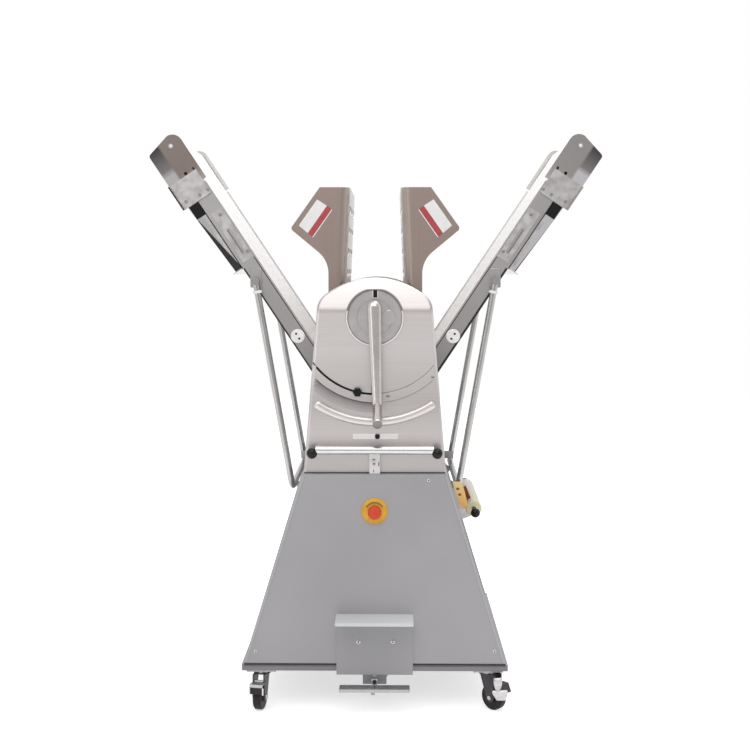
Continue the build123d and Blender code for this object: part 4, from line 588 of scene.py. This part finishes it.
def arc_rows(inner, outer, start, end, thick, steps=48):
    """A rectangle carried along an arc: angle 0 points down and grows to the right, in degrees."""
    t = np.radians(np.linspace(start, end, steps))
    reach = np.stack([np.sin(t), -np.cos(t)], -1)
    radius = np.array([inner, outer, outer, inner])
    height = np.broadcast_to(np.array([0, 0, thick, thick]), (steps, 4))
    rows = np.concatenate([reach[:, None] * radius[None, :, None], height[..., None]], -1)
    ends = np.broadcast_to(rows[[0, -1]].mean(1, keepdims=True), (2, 4, 3))
    return np.concatenate([ends[:1], rows, ends[1:]])


def ball_rows(radius, steps=36):
    """A ball: circles of radius r cos a at height r sin a while a goes from pole to pole."""
    a = np.linspace(-pi / 2, pi / 2, steps // 2)
    flat = circle(1.0, steps)[None] * (radius * np.cos(a))[:, None, None]
    height = np.broadcast_to((radius * np.sin(a))[:, None, None], (*flat.shape[:2], 1))
    return np.concatenate([flat, height], -1)


def skin(name, rows, where, finish, body="base", axes=TO_OPERATOR):
    """Stand a grid's rows at a place, join them into a closed skin and let it ride on a body.

    The rows' x runs along the first axis, their y along the second and their height along first x second.
    """
    first, second = (np.asarray(axis, float) for axis in axes)
    places = np.asarray(where) + rows @ np.stack([first, second, np.cross(first, second)])
    count, steps = rows.shape[:2]
    here = np.arange(count * steps).reshape(count, steps)
    beside = np.roll(here, -1, 1)
    faces = np.stack([here[:-1], beside[:-1], beside[1:], here[1:]], -1).reshape(-1, 4)
    mesh = bpy.data.meshes.new(name)
    mesh.from_pydata((places.reshape(-1, 3) * MM).tolist(), [], faces.tolist())
    weld = bmesh.new()
    weld.from_mesh(mesh)
    bmesh.ops.remove_doubles(weld, verts=weld.verts, dist=WELD)
    bmesh.ops.recalc_face_normals(weld, faces=weld.faces)
    weld.to_mesh(mesh)
    weld.free()
    mesh.materials.append(finish)
    piece = bpy.data.objects.new(name, mesh)
    bpy.context.collection.objects.link(piece)
    mesh.shade_smooth()
    mesh.set_sharp_from_angle(angle=SHARP)
    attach(piece, body)
    return piece


def press(name, outline, profile, where, finish, body="base", axes=TO_OPERATOR):
    """Press an outline through a profile and skin it."""
    skin(name, press_rows(outline, profile), where, finish, body, axes)


print("a nut's outline has", len(circle(5, 6)), "corners")

# %% [markdown]
# ## Screws on the covers and the base
# Sheet panels are held by pan-head screws. A pan head is a low dome with a rounded rim: four rows of
# profile are enough. The socket is a dark hollow of painted shade in its middle, made as a second, smaller
# piece a hair above it. Screws on the base and the guards, and the axle bolts, take a lighter copy with a
# painted highlight.

# %% Panel screws
COVER_Y = MID_Y - 411
PANEL_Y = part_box("front_panel")[0][1] / MM
GUARD_Y = MID_Y - 434
REAR_PANEL_Y, REAR_COVER_Y = (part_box(node)[1][1] / MM for node in ("rear_panel", "rear_cover"))
dark_gap = moulded("shadowed recess", "#1B1919", "#262323", 0.8, 10)
screw_steel = bright_metal("plated screw", "#8E8C8D", "#A3A1A2", 0.3, 4, 0.9)
# a lighter copy of the plated screw: a painted highlight
screw_highlight = bright_metal("plated screw with painted highlight", "#B2B0B1", "#C4C2C3", 0.28, 4, 0.8)


def pan_screw(name, x, z, y, end=-1, radius=5.5, steel=screw_steel):
    """Pan head seen from the front (end -1) or the back (end 1), with a dark socket."""
    dome = [(0, -1), (0, 0.8), (0.15 * radius, 1.8), (0.5 * radius, 2.6)]
    press(name, circle(radius, 24), dome, (x, y, z), steel, axes=FACING[end])
    hollow = [(0, 2.5), (0, 2.75)]
    press(f"{name}_socket", circle(0.36 * radius, 6), hollow, (x, y, z), dark_gap, axes=FACING[end])


for i, (x, z, lift) in enumerate([(-176, 1002, 0), (174, 1017, 5), (40, 960, 5)]):
    pan_screw(f"cover_screw_{i}", x, z, COVER_Y - lift)
base_places = [(-362, 182), (363, 185), (162, 708)]
screws = {
    "base_screw": (base_places, PANEL_Y, -1, 5.5, screw_highlight),
    "rear_screw": (base_places + [(-162, 708)], REAR_PANEL_Y, 1),
    "guard_screw": ([(-49, 213.5), (55, 213.5)], GUARD_Y, -1, 6.8, screw_highlight),
    "rear_cover_screw": ([(-180, 774), (180, 774), (-165, 1114), (165, 1114)], REAR_COVER_Y, 1),
}
for name, (places, *look) in screws.items():
    for i, place in enumerate(places):
        pan_screw(f"{name}_{i}", *place, *look)

# %% [markdown]
# ## Bare plate and dial window
# Under the lever sits a thin metal plate, and at the top of the dial a white index strip with a black
# window. Both are left bare. They are rounded rectangles under a millimetre thick. Plates like them draw
# the painted shadow in the gap under the cover and in the gap under the front panel, the painted shade
# below that panel, a painted highlight and shade along the folds of its edges, and the pan's ledges. The
# folds follow the panel's slanted edges, so their ends are read from the panel's own corners.

# %% Plates, gaps and folds
DIAL_Y = COVER_Y + 6
FOLD_LOW, FOLD_HIGH = 149, 720
PAN_TOP = 142
label_silver = brushed_steel("bare silver plate", "#D9D6D5", "#E6E3E2", 0.35, "x")
strip_white = moulded("white index strip", "#E6E4E2", "#EFEDEB", 0.4, 20)
window_black = moulded("black window", "#121113", "#1B191B", 0.2, 20, 0.25)
seam_grey = moulded("shaded seam", "#5F5C5F", "#6A676A", 0.6, 20)
fold_highlight = powder_paint("folded edge with painted highlight", "#ABA9AC", "#B4B2B5")
fold_shade = powder_paint("shaded folded edge", "#949295", "#9C9A9D")


def thin_plate(name, x0, x1, z0, z1, y, thick, finish, body="base", corner=1.5):
    """Flat plate over a box of x and z, its rim cut off by 0.3 of its thickness."""
    rim = [(0, 0), (0, thick * 0.7), (thick * 0.3, thick)]
    middle = ((x0 + x1) / 2, y, (z0 + z1) / 2)
    press(name, rectangle(x1 - x0, z1 - z0, corner), rim, middle, finish, body)


thin_plate("bare_label", -66, 70, 830, 846, COVER_Y, 0.8, label_silver)
thin_plate("index_strip", -7, 10, 1253, 1278, DIAL_Y, 0.8, strip_white)
thin_plate("index_window", -4.5, 7.5, 1254, 1277, DIAL_Y - 0.8, 0.5, window_black)
# a dark strip of painted shadow in the gap under the cover
thin_plate("cover_shadow_gap", -213, 213, 727, 729.4, COVER_Y, 0.6, dark_gap, corner=1)
thin_plate("panel_gap", -397, 397, 141, 145, PANEL_Y, 0.6, dark_gap)
thin_plate("panel_shade", -397, 397, 136, 147, PANEL_Y, 0.4, seam_grey)
panel = np.array([vertex.co for vertex in frame["nodes"]["front_panel"].data.vertices]) / MM
low_x, high_x = (np.abs(panel[np.isclose(panel[:, 2], z, atol=0.1), 0]).max()
                 for z in (panel[:, 2].min(), panel[:, 2].max()))
# along each fold a pale strip of painted highlight and, inside it, a darker line of painted shade
for name, start, end, finish in (("edge_fold", 3, 10, fold_highlight), ("edge_fold_line", 10, 12, fold_shade)):
    for side, sx in SIDES.items():
        strip = np.array([(low_x - start, FOLD_LOW), (low_x - end, FOLD_LOW),
                          (high_x - end, FOLD_HIGH), (high_x - start, FOLD_HIGH)]) * (sx, 1)
        press(f"{name}_{side}", rounded(strip, 0.5), [(0, 0), (0, 0.4)], (0, PANEL_Y, 0), finish)
for side, sx in SIDES.items():
    ledge = np.array([(388, -390), (402.5, -390), (402.5, 468), (388, 468)]) * (sx, 1)
    press(f"pan_ledge_{side}", rounded(ledge, 1), [(0, -1), (0, 0.2)], (0, 0, PAN_TOP),
          finishes["painted_grey"], axes=UPWARD)
press("label_stud", rectangle(14, 14, 4), [(0, 0), (0, 6), (1.5, 8)], (8, COVER_Y - 0.8, 838),
      finishes["black_plastic"])
print("plates, gaps, folds and a stud set")

# %% [markdown]
# ## Creases of the arc band, dial bezel, knob end and ball grips
# The pressed arc band meets the cover in a crease that gathers shadow, drawn as lines of painted shade:
# dark under its left half and along the slot's end, soft elsewhere. Below its left half the sheet lies in a
# painted shade that fades over four thin arcs, and a ring of painted shade marks the dial's groove. A bezel
# with a painted highlight rings the dial's lower half, and a greyer one in painted shade its upper half. The
# lever's knob ends in a turned face in the same painted shade, and the handlebar in two phenolic balls,
# which stand for the solid ones.

# %% Round trim on the head
HUB = np.array([0, COVER_Y, 1195])
KNOB_OUT = np.array([0.015, -0.866, -0.5])
# the creases' lines are painted shade
soft_crease_shade = moulded("soft crease", "#8F8B8A", "#999594", 0.6, 20)
dark_crease_shade = moulded("dark crease shade", "#4C4848", "#585454", 0.6, 20)
SHADE_TONES = [("#7D7778", "#868081"), ("#8E8788", "#969091"), ("#9D9697", "#A49D9E"), ("#A9A2A3", "#AFA8A9")]
shades = [moulded(f"shade under the band {i}", *tones, 0.6, 30) for i, tones in enumerate(SHADE_TONES)]
# a darker ring of painted shade for the dial's groove
groove_shade = moulded("dial groove shade", "#A19D9E", "#AAA6A7", 0.5, 20)
# the lower bezel's brightness is a painted highlight, the upper bezels' grey is painted shade
bezel_highlight = bright_metal("bezel with painted highlight", "#EDEAE9", "#F3F0EF", 0.3, GRAIN, 0.5)
bezel_grey = bright_metal("shaded bezel", "#7F7B7C", "#8A8687", 0.4, GRAIN, 0.6)
arcs = {  # inner and outer radius, first and last angle, thickness, lift from the cover, finish
    "slot_end_crease": (227, 230.5, -54, -48.8, 0.4, 0, dark_gap),
    "band_shade_0": (257, 262, -43, 2, 0.3, 0, shades[0]),
    "band_shade_1": (262, 268, -42.5, 2, 0.3, 0, shades[1]),
    "band_shade_2": (268, 276, -42, 1, 0.3, 0, shades[2]),
    "band_shade_3": (276, 285, -40, -1, 0.3, 0, shades[3]),
    "dial_groove": (53, 57, -180, 180, 0.3, -6, groove_shade),
    "band_low_left": (253.4, 257, -44, 3, 0.5, 0, dark_crease_shade),
    "band_low_right": (253.8, 256, 3, 43, 0.5, 0, soft_crease_shade),
    "band_high_right": (226.2, 228.2, 4, 51, 0.5, 0, soft_crease_shade),
    "bezel_low": (82, 86.2, -104, 104, 0.8, 3, bezel_highlight),
    "bezel_left": (82, 86.2, -165, -104, 0.8, 3, bezel_grey),
    "bezel_right": (82, 86.2, 104, 165, 0.8, 3, bezel_grey),
}
for name, (*arc, lift, finish) in arcs.items():
    skin(name, arc_rows(*arc), HUB - (0, lift, 0), finish)
skin("rib_bead", bead_rows(313, 13, 11, 33), HUB, finishes["brushed_steel"])
press("dial_boss", circle(16), [(0, -1), (0, 1), (4, 3)], (43, DIAL_Y, 1202), finishes["dial_alloy"])
knob_side = np.cross((0, 0, 1), KNOB_OUT) / np.linalg.norm(KNOB_OUT[:2])
# the knob's end takes the shaded bezel tone: painted shade on a face that looks down
press("knob_end", circle(14.4), [(0, -0.5), (0, 0.3), (1, 0.9)], (9.3, -478.7, 886.1), bezel_grey, "lever",
      (knob_side, np.cross(KNOB_OUT, knob_side)))
for side, sx in SIDES.items():
    ball = skin(f"ball_grip_{side}", ball_rows(16.4), (sx * 187, MID_Y - 451, 792),
                finishes["black_plastic"], "handlebar")
    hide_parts("handlebar_balls")
print("arcs:", len(arcs), "and a bead, a boss, a knob end and two balls")

# %% [markdown]
# ## Trim along the tables
# The tables' own frame runs u up the belt and v square to it, so trim is placed there and repeated on both
# tables and on both faces of each: bearing caps, bolts, a white dome painted as a highlight on the tail's
# axle end, the painted shadow lines of the rails and their edge strips, the far one painted pale against its
# shade, the tension slot in painted shade, and the seams and painted shades of the end tray. The two tables
# stand in different light, so the rail's lower shadow line, the tray's shade and the painted shade on the
# bracket's lip differ by side.

# %% Table trim
RAIL_FACE = 270
CHEEK_FACE = 272
BRACKET_FACE = 275
LIP_FACE = BRACKET_FACE + 9
CAP_U = 281
CAP = [(0, 0), (0, 3), (2, 5), (14, 5.5)]
BOLT = [(0, -0.5), (0, 2.5), (1, 3.5)]
HIGHLIGHT_DOME = [(0, -0.5), (0, 1), (2, 3.5), (4, 4.5)]
LINE = [(0, 0), (0, 0.6)]
SHADE_U, SHADE_STEP, SHADE_LAP, SHADE_REACH = 552, 48, 1, 215
SHADE_V, SHADE_SLOPE = -49, 0.0505
cap_white = moulded("white bearing cap", "#EFEDEC", "#F6F4F3", 0.4, 15)
slot_shade = moulded("shaded tension slot", "#7C7877", "#868281", 0.6, 20)
# the far face's strip is painted pale against the shade it lies in
edges = {-1: moulded("grey edge strip", "#A29F9F", "#ABA8A8", 0.5, 40),
         1: moulded("edge strip painted pale against shade", "#DEDCDB", "#E6E4E3", 0.5, 40)}
# width and v of the rail's lower shadow line, depth of the tray's painted shade, tone of the painted shade
# on the bracket's lip
by_side = {"left": (5, -22.5, 24, dark_gap), "right": (7, -21.5, 3, soft_crease_shade)}
FACES = [(side, sx, end, f"{side}_{'near' if end < 0 else 'far'}")
         for side, sx in SIDES.items() for end in ENDS]


def on_table(side, end, u, v, face):
    """Point at (u, v) of a table, on its near (end -1) or far (end 1) face."""
    x = PIVOT[0] + u * cos(FOLD) - v * sin(FOLD)
    return (SIDES[side] * x, MID_Y + end * face, PIVOT[1] + u * sin(FOLD) + v * cos(FOLD))


def table_axes(side, end):
    """Axes of a table's near or far face: along the belt, one way or the other, and square to it."""
    sx = SIDES[side]
    along_belt = np.array([sx * cos(FOLD), 0, sin(FOLD)])
    square = np.array([-sx * sin(FOLD), 0, cos(FOLD)])
    return (along_belt, square) if np.cross(along_belt, square)[1] * end > 0 else (-along_belt, square)


def table_trim(side, end):
    """Every piece of one face: its name, outline, profile, u, v, face and finish."""
    flip = (np.sign(table_axes(side, end)[0][2]), 1)
    line_width, line_v, shade_depth, lip = by_side[side]
    yield "cap", circle(22), CAP, CAP_U, 0, RAIL_FACE, cap_white
    for i, shift in enumerate((-9, 9)):
        yield f"cap_hole_{i}", circle(3.5, 16), [(0, 5), (0, 5.9)], CAP_U + shift, 0, RAIL_FACE, dark_gap
    for i, (u, v) in enumerate([(808, -9), (808, 21), (814, -56)]):
        yield f"tail_bolt_{i}", circle(5.5, 6), BOLT, u, v, BRACKET_FACE, screw_steel
    for i, (u, v) in enumerate([(723, 9), (584, 17)]):
        yield f"tension_bolt_{i}", circle(5.5, 6), BOLT, u, v, CHEEK_FACE, screw_steel
    # a white dome on the tail's axle end, painted as a highlight
    yield "tail_axle_highlight", circle(5.5, 24), HIGHLIGHT_DOME, 980, 0, CHEEK_FACE, cap_white
    yield "rail_low_line", rectangle(485, line_width, 1), LINE, 304, line_v, RAIL_FACE, dark_gap
    yield "rail_high_line", rectangle(500, 2.5, 1), LINE, 310, 23.6, RAIL_FACE, dark_gap
    yield "rail_edge", rectangle(790, 5, 1), [(0, -2), (0, 0)], 440, 27.5, RAIL_FACE, edges[end]
    yield "tray_block", rectangle(45, 33, 1), LINE, 772, -42.5, CHEEK_FACE, window_black
    yield "tray_seam", rectangle(246, 2.8, 0.5), LINE, 672, -26.4, CHEEK_FACE, dark_gap
    yield "tension_slot", rectangle(90, 9, 4.3), [(0, -0.5), (0, 0.3)], 630, 0, RAIL_FACE, slot_shade
    web = np.array([(749, -26.5), (551, -26.5), (551, -38), (749, -38)]) * flip
    yield "tray_web", rounded(web, 0.5), [(0, -1), (0, 0.4)], 0, 0, CHEEK_FACE, finishes["bracket_steel"]
    for i in range(4):
        u = SHADE_STEP * np.array([i, i + 1]) + (0, SHADE_LAP)
        low = SHADE_V - SHADE_SLOPE * u
        top = low + shade_depth * (1 - u / SHADE_REACH)
        strip = np.stack([np.append(u, u[::-1]) + SHADE_U, np.append(low, top[::-1])], -1) * flip
        yield f"tray_shade_{i}", rounded(strip, 0.2), LINE, 0, 0, CHEEK_FACE, dark_gap
    # a strip of painted shade along the bracket's lip
    yield "bracket_lip_shade", rectangle(84, 4.5, 1), LINE, 837.5, -75.3, LIP_FACE, lip


for side, sx, end, tag in FACES:
    for name, outline, profile, u, v, face, finish in table_trim(side, end):
        press(f"{tag}_{name}", outline, profile, on_table(side, end, u, v, face), finish, f"{side}_table",
              table_axes(side, end))
print("table trim on", len(FACES), "faces")

# %% [markdown]
# ## Strut plates and collars
# Each strut hangs from a folded plate on the rail, and a white ring sits on the tube just below its eye.
# The ring is turned about the tube, so its own up axis is the tube's line from the eye to the foot.

# %% Strut trim
STRUT_EYE = (494, -13)
STRUT_FOOT = (258.31, 663)
TUBE_OFFSET = 14
RING_BELOW = 30
ACROSS_TUBE = np.array([0, 1, 0])
for side, sx, end, tag in FACES:
    eye = np.array(on_table(side, end, *STRUT_EYE, RAIL_FACE))
    press(f"{tag}_strut_plate", rectangle(35, 59, 4), [(0, 0), (0, 2), (0.8, 2.8)], eye + (0, 0, 9),
          finishes["rail_steel"], f"{side}_table", FACING[end])
    top = eye + (0, end * TUBE_OFFSET, 0)
    foot = np.array([sx * STRUT_FOOT[0], top[1], STRUT_FOOT[1]])
    tube = (foot - top) / np.linalg.norm(foot - top)
    press(f"{tag}_strut_ring", circle(13.8), [(3.5, 0), (0, 0), (0, 8), (3.5, 8)], top + tube * RING_BELOW,
          cap_white, f"{side}_strut", (ACROSS_TUBE, np.cross(tube, ACROSS_TUBE)))
print("strut trim:", 2 * len(FACES), "pieces")

# %% [markdown]
# ## Guard plates
# On each guard wing is a plain white plate with a red stripe along its long inner edge. The plate is a
# rounded quadrilateral; the stripe is a narrower one just inside its inner edge, and stands a hair higher.

# %% Plain plates on the guards
GUARD_FACE = 267
PLATE = np.array([(179, 1553), (131.5, 1522), (192, 1436), (236, 1473)])
STRIPE_SHARE = (0.05, 0.37)
stripe_red = moulded("red stripe print", "#A83A42", "#B2434B", 0.45, 20)
for side, sx, end, tag in FACES:
    plate = PLATE * (-sx * end, 1)
    inner, outer = plate[[1, 2]], plate[[0, 3]]
    near, far = (inner + share * (outer - inner) for share in STRIPE_SHARE)
    stripe = np.concatenate([near, far[::-1]])
    where = (0, MID_Y + end * GUARD_FACE, 0)
    ride = (f"{side}_guard", FACING[end])
    press(f"{tag}_guard_plate", rounded(plate, 3), [(0, 0), (0, 0.6)], where, strip_white, *ride)
    press(f"{tag}_guard_stripe", rounded(stripe, 2), [(0, 0.5), (0, 0.9)], where, stripe_red, *ride)
print("guard plates:", len(FACES))

# %% [markdown]
# ## Yellow plate by the rolling pin
# Before the right strut's foot a yellow plate with two brown marks stands out from the base's flank, and a
# red-brown strip of painted shade fills the gap at the cradle behind it.

# %% Cradle trim
YELLOW_TONES = [(605, "#F3B45E"), (640, "#F8CC7C"), (683, "#FBE3A4")]
CRADLE_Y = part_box("pin_cradle")[0][1] / MM
FOOT_Y = MID_Y - 304
plate_yellow, tree, shader, place = new_finish("yellow painted plate", Roughness=0.45, IOR=1.5)
paint(tree, shader, tone_ramp(tree, along(tree, place, "Z"), YELLOW_TONES))
brown_marks_and_gap_shade = moulded("red brown marks and gap shade", "#86310E", "#A04216", 0.5, 12)
yellow = rounded([(238, 683), (268, 683), (278, 650), (286, 612), (276, 596), (261, 613)], 3)
press("foot_plate", yellow, [(0, 0), (0, 2), (0.6, 2.6)], (0, FOOT_Y, 0), plate_yellow)
for i, (x, z) in enumerate([(256, 661), (262, 643)]):
    press(f"foot_mark_{i}", rectangle(9, 7, 2), [(0, 2), (0, 3.2)], (x, FOOT_Y, z), brown_marks_and_gap_shade)
# a red-brown strip of painted shade in the gap at the cradle behind the plate
lining = rounded([(281, 642), (290, 645), (308, 600), (295, 595)], 2)
press("cradle_gap_shade", lining, [(0, 0), (0, 6), (1, 7)], (0, CRADLE_Y, 0), brown_marks_and_gap_shade)
print("plate, marks and gap shade, the cradle at y", round(CRADLE_Y), "mm")

# %% [markdown]
# ## Pedal, post, stop button, wheels and brakes
# A tread strip faces the pedal's bar, with a line of painted shade along its top edge, and a bolt holds it
# from below; a dark disc of painted shade marks the end of the pedal's arm. Two screws and two slits show
# where the post clamps the handlebar, and the stop button has an olive arc on its collar. Each wheel has a
# zinc cap on both sides of its hub, and each fork an axle bolt over it, painted with a highlight. The right
# brake is a scuffed pad on a neck, and the left one has two bright rails. Each piece rides on the body that
# it moves with.

# %% Small pieces
TREAD_Y = MID_Y - 489.3
POST_Y = COVER_Y - 17
UP = np.array([0, 0, 1.0])
HUB_HALF, FORK_HALF = 12.4, 19
BRAKE_AT = (377, -421, 59)
press("pedal_bolt", circle(6, 6), [(0, 0), (0, 14)], (-5, MID_Y - 475, 64), screw_steel, "foot_pedal", UPWARD)
# a dark disc of painted shade on the end of the pedal's arm
press("pedal_arm_end_shade", circle(7, 24), [(0, 0), (0, 1)], (0, MID_Y - 459.3, 98), dark_gap, "foot_pedal")
thin_plate("pedal_tread", -106, 106, 75.5, 88.5, TREAD_Y, 2, finishes["catch_grey"], "foot_pedal")
# a line of painted shade along the tread's top edge
thin_plate("pedal_tread_shade_line", -106, 106, 85.5, 88.5, TREAD_Y - 2, 0.4, dark_crease_shade, "foot_pedal", 1)
for i, (x, z, radius) in enumerate([(-3, 771, 6), (-2, 757, 4.5)]):
    pan_screw(f"post_screw_{i}", x, z, POST_Y, radius=radius)
thin_plate("post_slit", 11, 13.5, 750, 763, POST_Y, 0.5, dark_gap, corner=1)
thin_plate("post_slit_low", -4, -2, 731, 740, POST_Y, 0.5, dark_gap, corner=0.9)
low, high = (np.array(corner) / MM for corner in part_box("estop_collar"))
olive = moulded("dark olive ring", "#8A6A12", "#9A7820", 0.4, 10)
skin("estop_arc", arc_rows(25.5, 30.5, 120, 240, 0.7), (0, low[1], (low[2] + high[2]) / 2), olive)
for corner in ("front_left", "front_right", "rear_left", "rear_right"):
    joint = next(j for j in frame["joints"] if j["name"] == f"{corner}_roll")
    hub = np.array(joint["pos_m"]) / MM
    for letter, end in zip("ab", ENDS):
        out = end * np.array(joint["axis"], float)
        axes = (np.cross(UP, out), UP)
        press(f"wheel_cap_{corner}_{letter}", circle(11), [(0, 0), (0, 1), (3, 1.6)], hub + out * HUB_HALF,
              finishes["zinc"], f"wheel_{corner}", axes)
        press(f"axle_bolt_{corner}_{letter}", circle(8, 6), [(0, -0.5), (0, 3), (1.5, 5)],
              hub + out * FORK_HALF, screw_highlight, f"fork_{corner}", axes)
scoop = rounded([(-22.6, 13.8), (23.8, 16.2), (24.4, 5.9), (17.6, -15.9), (-8.8, -15.9), (-22, 5)], 3)
neck = rounded([(-18, 52), (7, 54), (7, 34), (1, 12), (-12, 12), (-18, 34)], 2)
pad_silver = bright_metal("scuffed brake pad", "#BDBBBC", "#CDCBCC", 0.3, 8, 0.7)
for name, outline in (("brake_scoop", scoop), ("brake_neck", neck)):
    press(name, outline, [(0, -2), (0, 2), (3, 5)], BRAKE_AT, pad_silver, "brake_front_right")
for i, where in enumerate([(-377, -430.5, 72), (-336, -438.4, 72)]):
    press(f"brake_rail_{i}", rectangle(4, 22, 1), [(0, -2), (0, 2)], where, finishes["chrome"],
          "brake_front_left")
print("small pieces set")

# %% [markdown]
# ## Studio
# The machine stands on a pale floor before white. For the camera and for reflections floor and sky are
# plain white, while the light that reaches the machine is softer: a dim even sky and broad lamps. The floor
# keeps the shadow under the casters because only part of it glows. Steel shows what it faces, so a grey
# card behind the camera, which only reflections see, keeps flat fronts grey while bends and tops stay
# bright. A white strip beside it, seen the same way, draws the streak on the lever and the tubes.

# %% Floor, sky and lamps
SKY = 0.62
FLOOR_GLOW = 0.6


def stage_sheet(name, corners, finish):
    """One flat sheet of the studio, which isn't part of the machine."""
    mesh = bpy.data.meshes.new(name)
    mesh.from_pydata(corners, [], [(0, 1, 2, 3)])
    mesh.materials.append(finish)
    sheet = bpy.data.objects.new(name, mesh)
    bpy.context.collection.objects.link(sheet)
    sheet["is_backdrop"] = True
    return sheet


def is_seen(tree):
    """1 for rays from the camera, off a mirror or through glass, and 0 for the light that falls on things."""
    ray = add(tree, "ShaderNodeLightPath")
    seen = ray.outputs["Is Camera Ray"]
    for kind in ("Is Glossy Ray", "Is Transmission Ray"):
        larger = add(tree, "ShaderNodeMath", {"operation": "MAXIMUM"}, {0: seen, 1: ray.outputs[kind]})
        seen = larger.outputs[0]
    return seen


def lamp(name, place, aim, size, watts):
    """Square soft lamp at a place, turned to look at a point."""
    light = bpy.data.lights.new(name, "AREA")
    light.size = size
    light.energy = watts
    holder = bpy.data.objects.new(name, light)
    bpy.context.collection.objects.link(holder)
    holder.location = place
    to = np.subtract(aim, place)
    yaw = np.arctan2(to[1], to[0]) - pi / 2
    tilt = np.arctan2(to[2], np.hypot(to[0], to[1])) + pi / 2
    holder.rotation_euler = (tilt, 0, yaw)


def reflector(name, finish_name, corners, grey, strength):
    """A glowing sheet that only reflections see."""
    finish, *_ = new_finish(finish_name, Base_Color=(0, 0, 0, 1), Roughness=1.0,
                            Emission_Color=(grey, grey, grey, 1), Emission_Strength=strength)
    card = stage_sheet(name, corners, finish)
    card.visible_camera = card.visible_diffuse = card.visible_shadow = False


pale, tree, shader, place = new_finish("pale studio floor", Roughness=0.9, Base_Color=tint("#F2F2F2"),
                                       Emission_Color=(FLOOR_GLOW, FLOOR_GLOW, FLOOR_GLOW, 1))
tree.links.new(is_seen(tree), shader.inputs["Emission Strength"])
stage_sheet("floor", [(-9, -9, 0), (9, -9, 0), (9, 9, 0), (-9, 9, 0)], pale)

sky = bpy.data.worlds.new("soft white sky")
bpy.context.scene.world = sky
sky.use_nodes = True
tree = sky.node_tree
backdrop = tree.nodes["Background"]
backdrop.inputs["Color"].default_value = (1, 1, 1, 1)
level = add(tree, "ShaderNodeMapRange", {"To Min": SKY, "To Max": 1.0}, {"Value": is_seen(tree)})
tree.links.new(level.outputs[0], backdrop.inputs["Strength"])

lamp("key", (-0.4, -2.9, 3.9), (0, 0, 0.9), 3.4, 54)
lamp("top", (0.6, 0.4, 4.2), (0, 0, 0.9), 2.5, 62)
reflector("grey_card", "grey reflector card", [(-6, -6, -1), (6, -6, -1), (6, -6, 5), (-6, -6, 5)], 0.62, 1.0)
reflector("streak_card", "white reflector strip",
          [(-2.5, -3.3, -0.5), (-2.0, -3.7, -0.5), (-2.0, -3.7, 3.5), (-2.5, -3.3, 3.5)], 1, 2.4)
print("sky at", SKY, "with 2 lamps, a grey card and a white strip")

# %% [markdown]
# ## Camera
# The viewpoint is worked out from the photograph: just above the head, about 4 m in front, looking slightly
# down, through a longish lens.

# %% Camera
eye = bpy.data.cameras.new("camera")
eye.sensor_width = 36
eye.lens = 60.605
camera = bpy.data.objects.new("camera", eye)
bpy.context.collection.objects.link(camera)
camera.location = (0.0487, -4.1387, 1.3358)
camera.rotation_euler = (radians(90 - 4.745), 0, radians(0.729))
scene = bpy.context.scene
scene.camera = camera
scene.view_settings.view_transform = "Standard"
print("camera at", tuple(round(v, 3) for v in camera.location))

# %% Sizes
sizes = {"plain": [list(map(float, c)) for c in plain_bounds], "dressed": [list(map(float, c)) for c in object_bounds()]}
print("dressed box", sizes["dressed"])
